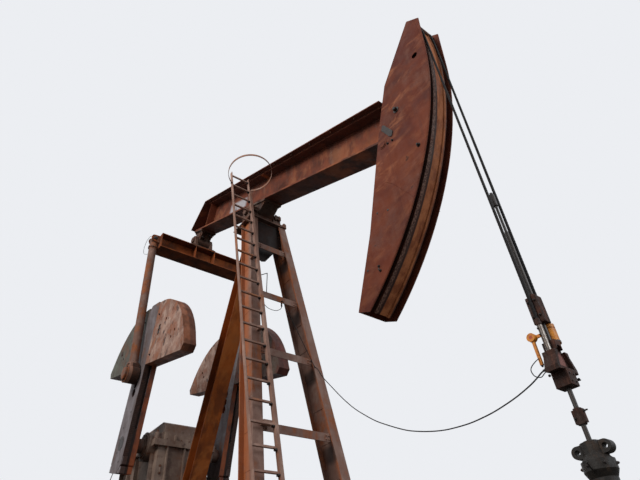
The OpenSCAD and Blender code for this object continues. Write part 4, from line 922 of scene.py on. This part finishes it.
def makeLadderFittings(it):
    clips = Maker(onLadder)
    for k in range(it["count"]):
        z = -k * it["pitch"]
        clips.block((-0.024, it["inner"] - 0.03, z - 0.034), (0.024, it["inner"] + 0.001, z - 0.013), 0.002)
        clips.seam((-0.016, it["outer"] - 0.001, z - 0.015), (0.008, 0, 0), 5, 0.005)
    clips.done("rungClips", "black", "post")
    bolts = Maker(onLadder)
    for z in (0.0, -0.03):
        for side in (it["inner"] + 0.02, it["outer"] - 0.02):
            bolts.bolt((0.012 if z else -0.012, side, -0.253), (0, 1 if side > 0 else -1, 0), 0.011)
    for k in range(4):
        z = -1.1 - 1.52 * k
        bolts.bolt((0, it["inner"] + 0.012, z), (0, 1, 0), 0.013)
    bolts.done("ladderBolts", "bolt", "post")


makeLadderFittings(rungs)

# A hook and a slack wire on the post. The wire is tied at both ends
postWire = {"radius": 0.005, "route": [(0.582, -0.402, 5.06), (0.575, -0.37, 5.02), (0.56, -0.296, 4.985),
            (0.552, -0.21, 4.94), (0.549, -0.086, 4.936), (0.55, -0.01, 4.965), (0.55, 0.04, 5.01),
            (0.551, 0.055, 5.06), (0.548, 0.058, 5.122)]}


def makePostWires(it):
    hook = Maker()
    hook.bar(smoothLine([(0.462, -0.35, 5.6), (0.452, -0.29, 5.628), (0.45, -0.175, 5.704), (0.45, -0.163, 5.69),
                         (0.45, -0.17, 5.5), (0.452, -0.178, 5.31), (0.466, -0.18, 5.249)], 5), 0.007, 10)
    hook.spin((0.551, 0.055, 5.045), (0, 0, 1), [(0.008, 0), (0.013, 0.008), (0.013, 0.07), (0.009, 0.082)], 16)
    hook.block((0.538, 0.045, 5.075), (0.552, 0.065, 5.1), 0.002)
    hook.spin((0.538, 0.064, 5.159), (1, 0, 0), [(0.013, 0), (0.013, 0.012), (0.009, 0.018)], 14)
    hook.block((0.762, 0.476, 3.99), (0.786, 0.489, 4.006), 0.002)
    hook.done("postHook", "black", "post")
    makeCord("postWire", it, "post", 6, 10)


makePostWires(postWire)
print("post fittings made")


# Bolts of the beam: saddle plate, tail bearing and cover plate. Places are along, across and up from the bearing
beamFit = {"rows": (-0.16, -0.09, 0.09, 0.16), "saddle": (-0.28, -0.2, 0.2, 0.28), "tail": (-3.22, -2.86),
           "flange": 0.324, "saddlePlate": 0.25, "tailPlate": 0.255, "tailPin": -3.08,
           "cover": {"from": -2.6, "pitch": 0.62, "count": 10, "y": 0.25, "top": 0.998, "low": 0.98},
           "tailBlock": ((-3.27, -0.13, 0.19), (-3.2, 0.13, 0.252)), "web": 0.012, "tops": (0.326, 0.944)}


def makeBeamFittings(it):
    bolts = Maker(onBeam)
    for y in it["rows"]:
        for u in it["saddle"]:
            bolts.bolt((u, y, it["flange"]), (0, 0, 1), 0.026)
            bolts.bolt((u, y, it["saddlePlate"]), (0, 0, -1), 0.026, 0)
        for u in it["tail"]:
            bolts.bolt((u, y, it["flange"]), (0, 0, 1), 0.026)
            bolts.bolt((u, y, it["tailPlate"]), (0, 0, -1), 0.026, 0.8)
    cover = it["cover"]
    for s in (-1, 1):
        for k in range(cover["count"]):
            u = cover["from"] + cover["pitch"] * k
            bolts.bolt((u, s * cover["y"], cover["top"]), (0, 0, 1), 0.02, 0)
            bolts.bolt((u, s * cover["y"], cover["low"]), (0, 0, -1), 0.02)
    bolts.done("beamBolts", "bolt", "beam")
    tail = Maker(onBeam)
    for s in (-1, 1):
        tail.spin((it["tailPin"], s * 0.15, 0), (0, s, 0), [(0.136, -0.002), (0.136, 0.003), (0.12, 0.004)], 36)
        for y in (0.0, 0.1):
            tail.block((-3.235, s * y - 0.008, 0.04), (-3.215, s * y + 0.008, 0.252))
    tail.block(*it["tailBlock"])
    for y in (-0.09, -0.03, 0.03, 0.09):
        tail.bolt((-3.27, y, 0.22), (-1, 0, 0), 0.018)
    tail.bolt((-2.83, 0.05, 0.18), (1, 0, 0), 0.03, 1.0)
    tail.bolt((-2.86, -0.1, 0.1), (1, 0, 0), 0.022, 1.0)
    tail.done("tailFittings", "black", "beam")
    welds = Maker(onBeam)
    for s in (-1, 1):
        for side in (-0.01, 0.01):
            welds.seam((-2.65 + side, s * it["web"], 0.33), (0, 0, 0.1), 7, 0.005)
        for v in it["tops"]:
            welds.seam((-2.8, s * it["web"], v), (0.3, 0, 0), 23, 0.006)
        welds.seam((-2.7, s * 0.197, 0.98), (0.31, 0, 0), 21, 0.005)
    welds.done("beamWelds", "beam", "beam")


makeBeamFittings(beamFit)

# The head: its latch and hinge caps, bolts and weld seams
headFit = {"latch": ((3.7, 0.54), (3.745, 0.53), (3.95, 0.36), (3.95, 0.28), (3.9, 0.285), (3.7, 0.455)),
           "face": 0.227, "hinge": (3.78, 0.2), "knob": (3.944, 0.709), "spot": (4.5, -0.074), "reach": 4.617,
           "arc": ((3.976, -0.451), (4.12, -0.52), (4.27, -0.625), (4.42, -0.73), (4.56, -0.84))}


def makeHeadFittings(it):
    iron, seams = Maker(onBeam), Maker(onBeam)
    for s in (-1, 1):
        u, v = it["hinge"]
        seams.spin((u, s * it["face"], v), (0, s, 0),
                   [(0.07, -0.001), (0.07, 0.006), (0.052, 0.009), (0.052, 0.016), (0.03, 0.018)], 28)
        inner, outer = sorted((s * (it["face"] - 0.001), s * (it["face"] + 0.012)))
        iron.slab(it["latch"], inner, outer)
        u, v = it["knob"]
        iron.spin((u, s * it["face"], v), (0, s, 0),
                  [(0.05, -0.001), (0.05, 0.008), (0.028, 0.01), (0.028, 0.05), (0.02, 0.056)], 20)
        iron.bolt((it["spot"][0], s * it["face"], it["spot"][1]), (0, s, 0), 0.028)
        for u, v in ((3.885, 0.178), (3.97, 0.2), (4.1, -1.66), (4.14, -1.72)):
            iron.bolt((u, s * it["face"], v), (0, s, 0), 0.018)
        sweep = [math.radians(-28.4 + 57.2 * k / 60) for k in range(61)]
        seams.bar([(it["reach"] * math.cos(a), s * (it["face"] - 0.001), it["reach"] * math.sin(a)) for a in sweep],
                  0.004, 6)
        seams.bar([(u, s * (it["face"] + 0.0005), v) for u, v in it["arc"]], 0.004, 6)
        seams.seam((3.845, s * (it["face"] - 0.001), 2.36), (-0.265 / 6, 0, -1.07 / 6), 7, 0.004)
        for z in (-1.693, -0.893):
            for side in (-0.1, 0.1):
                iron.spin((4.0 + side, s * it["face"], z), (0, s, 0),
                          [(0.016, -0.001), (0.016, 0.003), (0.01, 0.005)], 14)
    iron.done("headBolts", "black", "beam")
    seams.done("headSeams", "head", "beam")


makeHeadFittings(headFit)
print("beam fittings made")

# The equalizer: pins, studs, welds; and the thin grease line at its near end
level = {"x": -2.812, "z": 8.192, "half": 1.075, "pinY": 1.188, "pinZ": 8.247, "top": 8.387}
grease = {"radius": 0.0045, "route": [
          (-2.9, -1.1, 8.36), (-2.98, -1.15, 8.46), (-3.1, -1.188, 8.56), (-3.3, -1.2, 8.56),
          (-3.43, -1.2, 8.4), (-3.36, -1.2, 8.2), (-3.12, -1.2, 8.02), (-2.93, -1.195, 7.93), (-2.865, -1.188, 7.84),
          (-2.8245, -1.1, 7.72)]}


def makeEqualizerFittings(it):
    bolts, welds = Maker(), Maker()
    for s in (-1, 1):
        for x, way in ((it["x"] - 0.101, -1), (it["x"] + 0.101, 1)):
            bolts.spin((x, s * it["pinY"], it["pinZ"]), (way, 0, 0),
                       [(0.05, -0.004), (0.05, 0.01), (0.036, 0.014), (0.02, 0.03)], 20)
            for y, z in ((-0.062, 0.05), (0.062, 0.05), (-0.062, -0.05)):
                bolts.bolt((x - way * 0.006, s * (it["pinY"] + y * s), it["pinZ"] + z), (way, 0, 0), 0.012, 2.0)
        for y in (0.19, 0.25):
            for x in (-0.155, 0.155):
                bolts.bolt((it["x"] + x, s * y, it["top"] + 0.03), (0, 0, 1), 0.024)
                bolts.bolt((it["x"] + x, s * y, it["top"] - 0.02), (0, 0, -1), 0.024, 0)
        welds.seam((it["x"] - 0.16, s * (it["half"] - 0.001), it["z"] - 0.178), (0.04, 0, 0), 9, 0.005)
        for side in (-1, 1):
            welds.seam((it["x"] + side * 0.008, s * 0.06, it["z"] - 0.173), (0, s * 0.1, 0), 11, 0.005)
    for y in (-0.2, 0.29):
        for side in (-1, 1):
            welds.seam((it["x"] + side * 0.012, y + 0.009, it["z"] - 0.173), (side * 0.02, 0, 0), 9, 0.005)
    bolts.done("equalizerBolts", "black", "pitman_frame")
    welds.done("equalizerWelds", "equalizer", "pitman_frame")


makeEqualizerFittings(level)
makeCord("greaseLine", grease, "pitman_frame", 8, 8)

# Pitman and wrist bearing fittings, in the pitman's own frame from the wrist pin up
wrist = {"run": 3.394, "face": 0.11, "cap": 0.155}


def makePitmanFittings(it):
    for name, side in (("Near", -1), ("Far", 1)):
        bolts = Maker(onPitman(side))
        for k in range(8):
            a = (k + 0.5) * math.tau / 8
            x, y = 0.1 * math.cos(a), 0.1 * math.sin(a)
            if abs(y) < 0.08:
                bolts.bolt((x, y, 0.225), (0, 0, 1), 0.015)
        for spot in around((0, side * it["face"], 0), 0.138, 6):
            bolts.bolt(spot, (0, side, 0), 0.014)
        for a in (0.3, math.pi - 0.3):
            bolts.bolt((0.094 * math.cos(a), 0.094 * math.sin(a), it["run"] - 0.262), (0, 0, -1), 0.016, 1.2)
            bolts.bolt((0.094 * math.cos(a), -0.094 * math.sin(a), it["run"] - 0.262), (0, 0, -1), 0.016, 1.2)
        bolts.block((-0.125, -0.02, it["run"] - 0.27), (-0.098, 0.02, it["run"] - 0.2))
        bolts.done("pitmanBolts" + name, "black", "pitman_frame")
        cap = Maker(onPitman(side))
        cap.spin((0, side * it["cap"], 0), (0, side, 0),
                 [(0.112, -0.001), (0.112, 0.004), (0.1, 0.01), (0.05, 0.012)], 36)
        ring = []
        for k in range(29):
            a = math.radians(-150 + 240 * k / 28)
            ring.append((0.158 * math.cos(a), side * 0.116, 0.158 * math.sin(a)))
        cap.bar(ring, 0.012, 8)
        cap.done("wristCap" + name, "wrist", "pitman_frame")


makePitmanFittings(wrist)

# Teeth, studs and end blocks on the cranks; clamping bolts on the weights
crankFit = {"edge": 0.2675, "outer": 1.058, "inner": 0.977, "from": -0.2, "to": 1.36, "pitch": 0.03,
            "plugs": ((-0.075, 0.268), (-0.163, 0.066), (-0.087, -0.155), (0.131, 0.534), (-0.21, 0.62), (0.1, -0.3))}


def makeCrankFittings(it):
    for name, s in (("Near", -1), ("Far", 1)):
        rack, plugs, blocks = Maker(onCrank), Maker(onCrank), Maker(onCrank)
        y0, y1 = s * it["outer"], s * it["inner"]
        for way in (-1, 1):
            foot = way * (it["edge"] - 0.002)
            for k in range(int((it["to"] - it["from"]) / it["pitch"])):
                z = it["from"] + k * it["pitch"]
                rack.block((foot, y0, z), (way * (it["edge"] + 0.005), y1, z + it["pitch"] * 0.55), 0.001)
            blocks.block((foot, y0, -0.335), (way * (it["edge"] + 0.022), y1, -0.21))
            blocks.block((way * 0.115, s * 0.845, -0.483), (way * (it["edge"] + 0.018), s * 1.06, -0.37), 0.006)
        rack.done("crankRack" + name, "rack", "crank")
        for x, z in it["plugs"]:
            plugs.spin((x, s * 1.065, z), (0, s, 0), [(0.019, -0.001), (0.019, 0.003), (0.012, 0.004)], 16)
        for side in (-1, 1):
            for c, a in ((0.574, 1.955), (0.574, 2.045)):
                plugs.spin((side * c, s * 1.064, a), (0, s, 0), [(0.036, -0.02), (0.036, 0.004), (0.024, 0.006)], 6)
            plugs.bolt((side * 0.4, s * 1.065, 1.55), (0, s, 0), 0.02, 0)
            plugs.bolt((side * 0.4, s * 1.065, 2.35), (0, s, 0), 0.02, 0)
        plugs.spin((0, s * 1.065, 0), (0, s, 0), [(0.123, -0.001), (0.123, 0.004), (0.06, 0.006), (0.02, 0.004)], 40)
        plugs.done("crankPlugs" + name, "black", "crank")
        blocks.done("crankBlocks" + name, "crank", "crank")


makeCrankFittings(crankFit)
print("crank fittings made")

# The carrier: clamp bolts, cell base, gland, and the load cell's own short cable
loop = {"radius": 0.004, "route": [
        (4.542, -0.106, 2.4), (4.535, -0.12, 2.392), (4.53, -0.184, 2.355), (4.53, -0.28, 2.289),
        (4.53, -0.323, 2.24), (4.53, -0.303, 2.203), (4.53, -0.25, 2.2), (4.532, -0.19, 2.215), (4.543, -0.146, 2.25),
        (4.561, -0.138, 2.262)]}
carrierFit = {"clamp": (2.775, 2.925), "cell": (2.645, 2.585),
              "plate": ((-0.03, 2.16), (0.03, 2.16), (-0.03, 2.225), (0.03, 2.225))}


def makeCarrierFittings(it):
    bolts = Maker()
    for z in it["clamp"]:
        for x in (-0.032, 0.032):
            for s in (-1, 1):
                bolts.bolt((wellX + x, s * 0.049, z), (0, s, 0), 0.013, 0.8)
    for z in it["cell"]:
        bolts.bolt((wellX - 0.012, -0.095, z), (0, -1, 0), 0.01, 0.8)
    bolts.bolt((wellX + 0.041, 0.15, 2.215), (0, 1, 0), 0.013, 1.2)
    bolts.bolt((wellX - 0.041, -0.15, 2.215), (0, -1, 0), 0.011, 0.4)
    bolts.bolt((4.536, -0.118, 2.33), (0, 0, -1), 0.012, 0.4)
    for y, z in it["plate"]:
        bolts.bolt((wellX + 0.068, y, z), (1, 0, 0), 0.009, 0)
    bolts.bolt((wellX + 0.044, 0, 1.93), (1, 0, 0), 0.013, 1.6)
    bolts.bolt((wellX - 0.03, -0.021, 1.885), (0, -1, 0), 0.012, 0.8)
    bolts.spin((wellX, 0.075, 2.5305), (0, 0, 1), [(0.0545, 0), (0.0565, 0.002), (0.0565, 0.02), (0.0545, 0.022)], 40)
    bolts.spin((4.562, -0.128, 2.28), (-1, 0, 0), [(0.014, -0.001), (0.014, 0.012), (0.01, 0.014), (0.01, 0.03)], 14)
    bolts.spin((4.562, -0.139, 2.262), (-1, 0, 0), [(0.008, -0.001), (0.008, 0.008)], 12)
    bolts.done("carrierBolts", "black", "rod")
    seam = Maker()
    for s in (-1, 1):
        seam.block((wellX - 0.0535, s * 0.051, 2.715), (wellX + 0.0535, s * 0.012, 2.97), 0.004)
    seam.done("clampHalves", "carrier", "rod")
    bare = Maker()
    bare.block((4.572, 0.004, 2.548), (4.58, 0.021, 2.704), 0.002)
    bare.block((4.604, 0.1, 2.478), (4.634, 0.114, 2.53), 0.002)
    bare.spin((wellX, -0.075, 2.4305), (0, 0, 1), [(0.0235, 0), (0.0235, 0.24), (0.021, 0.245)], 20)
    bare.done("bareSteel", "bare", "rod")


makeCarrierFittings(carrierFit)
makeCord("cellCable", loop, "rod", 8, 10)

# The wellhead: studs, blind flanges, the stuffing box's bolts and its grease cup
well = {"casing": (0.215, 12), "casingTop": 0.62, "casingLow": 0.48,
        "tee": (0.08, 8), "teeTop": 0.77, "teeLow": 0.7,
        "outlet": (0.076, 8), "outletZ": 1.01, "side": (0.072, 6), "sideY": 0.355, "sideZ": 0.3,
        "gland": (0.084, 1.603)}


def makeWellFittings(it):
    studs, iron = Maker(), Maker()
    for spot in around((wellX, 0, 0), *it["casing"], 0.5, "xy"):
        studs.bolt(spot + Vector((0, 0, it["casingTop"])), (0, 0, 1), 0.022, 0.9)
        studs.bolt(spot + Vector((0, 0, it["casingLow"])), (0, 0, -1), 0.022, 0.9)
    for spot in around((wellX, 0, 0), *it["tee"], 0, "xy"):
        studs.bolt(spot + Vector((0, 0, it["teeTop"])), (0, 0, 1), 0.012)
        studs.bolt(spot + Vector((0, 0, it["teeLow"])), (0, 0, -1), 0.012)
    for spot in around((wellX, -0.2, it["outletZ"]), *it["outlet"], 0.5):
        studs.bolt(spot, (0, 1, 0), 0.009)
    for s in (-1, 1):
        for spot in around((wellX, s * it["sideY"], it["sideZ"]), *it["side"], 0.5):
            studs.bolt(spot, (0, s, 0), 0.012, 0)
        iron.spin((wellX, s * it["sideY"], it["sideZ"]), (0, s, 0), [(0.05, -0.001), (0.05, 0.008), (0.02, 0.012)], 24)
    for k in range(6):
        a = (k + 0.25) * math.tau / 6
        out = (math.cos(a), math.sin(a), 0)
        studs.bolt((wellX + 0.118 * out[0], 0.118 * out[1], 1.535), out, 0.014, 0.3)
    for spot in around((wellX, 0, 1.37), 0.085, 8, 0.5, "xy"):
        studs.bolt(spot, (0, 0, -1), 0.011)
    reach, height = it["gland"]
    for s in (-1, 1):
        studs.bolt((wellX + s * reach, 0.02, height), (0, 0, -1), 0.012, 1.8)
    studs.done("wellStuds", "black", "post")
    iron.bar([(wellX, -0.118, 1.488), (wellX, -0.15, 1.515), (wellX, -0.178, 1.545)], 0.007, 8)
    iron.spin((wellX + 0.02, -0.17, it["outletZ"]), (0, 0, 1),
              [(0.012, 0.06), (0.012, 0.095), (0.02, 0.1), (0.02, 0.115), (0.01, 0.13)], 14)
    iron.spin((wellX, 0.19, it["outletZ"]), (0, 1, 0), [(0.04, -0.001), (0.04, 0.02), (0.026, 0.024), (0.026, 0.045)], 6)
    iron.spin((wellX, 0, 1.7), (0, 0, 1), [(0.062, -0.002), (0.062, 0.006), (0.05, 0.012), (0.024, 0.013)], 28)
    iron.spin((wellX + 0.168, 0.02, 0.4), (1, 0, 0), [(0.022, -0.01), (0.022, 0.02), (0.014, 0.024), (0.014, 0.04)], 6)
    iron.done("wellFittings", "well", "post")


makeWellFittings(well)
print("fittings made")

# Floor, backdrop and soft light
studio = {
    "floor": tone(214, 212, 208), "sky": tone(236, 238, 242), "skyPower": 0.62, "groundPower": 0.14,
    "key": {"at": (3.5, -17, 15), "aim": (0.5, 0, 5), "size": 9, "power": 2600, "colour": (1.0, 0.93, 0.86)},
    "side": {"at": (17, 3, 9), "aim": (2, 0, 5), "size": 9, "power": 900, "colour": (0.9, 0.95, 1.0)},
}


def makeLamp(name, it):
    data = bpy.data.lights.new(name, "AREA")
    data.shape, data.size = "DISK", it["size"]
    data.energy, data.color = it["power"], it["colour"]
    lamp = bpy.data.objects.new(name, data)
    spot = Vector(it["at"])
    aim = (spot - Vector(it["aim"])).to_track_quat("Z", "Y").to_matrix().to_4x4()
    lamp.matrix_world = Matrix.Translation(spot) @ aim
    bpy.context.scene.collection.objects.link(lamp)


def makeStudio(it):
    makeLamp("keyLamp", it["key"])
    makeLamp("sideLamp", it["side"])
    s = Shader("floorPaper")
    path = s.add("ShaderNodeLightPath", output="Is Camera Ray")
    s.feed("Base Color", s.mix(path, tone(92, 88, 84), it["floor"]))
    s.surface.inputs["Roughness"].default_value = 0.95
    mesh = bpy.data.meshes.new("floor")
    wide = 60
    mesh.from_pydata([(-wide, -wide, 0), (wide, -wide, 0), (wide, wide, 0), (-wide, wide, 0)], [], [(0, 1, 2, 3)])
    mesh.materials.append(s.material)
    floor = bpy.data.objects.new("floor", mesh)
    bpy.context.scene.collection.objects.link(floor)
    world = bpy.data.worlds.new("studio")
    world.use_nodes = True
    tree = world.node_tree
    tree.nodes.clear()
    direction = tree.nodes.new("ShaderNodeTexCoord")
    split = tree.nodes.new("ShaderNodeSeparateXYZ")
    height = tree.nodes.new("ShaderNodeMapRange")
    height.inputs["From Min"].default_value, height.inputs["From Max"].default_value = -0.3, 0.9
    height.inputs["To Min"].default_value = it["groundPower"]
    height.inputs["To Max"].default_value = it["skyPower"]
    rays = tree.nodes.new("ShaderNodeLightPath")
    seen = tree.nodes.new("ShaderNodeMath")
    seen.operation = "MAXIMUM"
    either = tree.nodes.new("ShaderNodeMath")
    either.operation = "MAXIMUM"
    power = tree.nodes.new("ShaderNodeMix")
    power.inputs["B"].default_value = 1.0
    glow = tree.nodes.new("ShaderNodeBackground")
    glow.inputs["Color"].default_value = it["sky"]
    end = tree.nodes.new("ShaderNodeOutputWorld")
    for a, b in (
        (direction.outputs["Generated"], split.inputs[0]), (split.outputs["Z"], height.inputs["Value"]),
        (rays.outputs["Is Camera Ray"], seen.inputs[0]), (rays.outputs["Is Transmission Ray"], seen.inputs[1]),
        (seen.outputs[0], either.inputs[0]), (rays.outputs["Is Glossy Ray"], either.inputs[1]),
        (either.outputs[0], power.inputs["Factor"]), (height.outputs["Result"], power.inputs["A"]),
        (power.outputs["Result"], glow.inputs["Strength"]), (glow.outputs[0], end.inputs["Surface"]),
    ):
        tree.links.new(a, b)
    bpy.context.scene.world = world


makeStudio(studio)
print("studio lit")
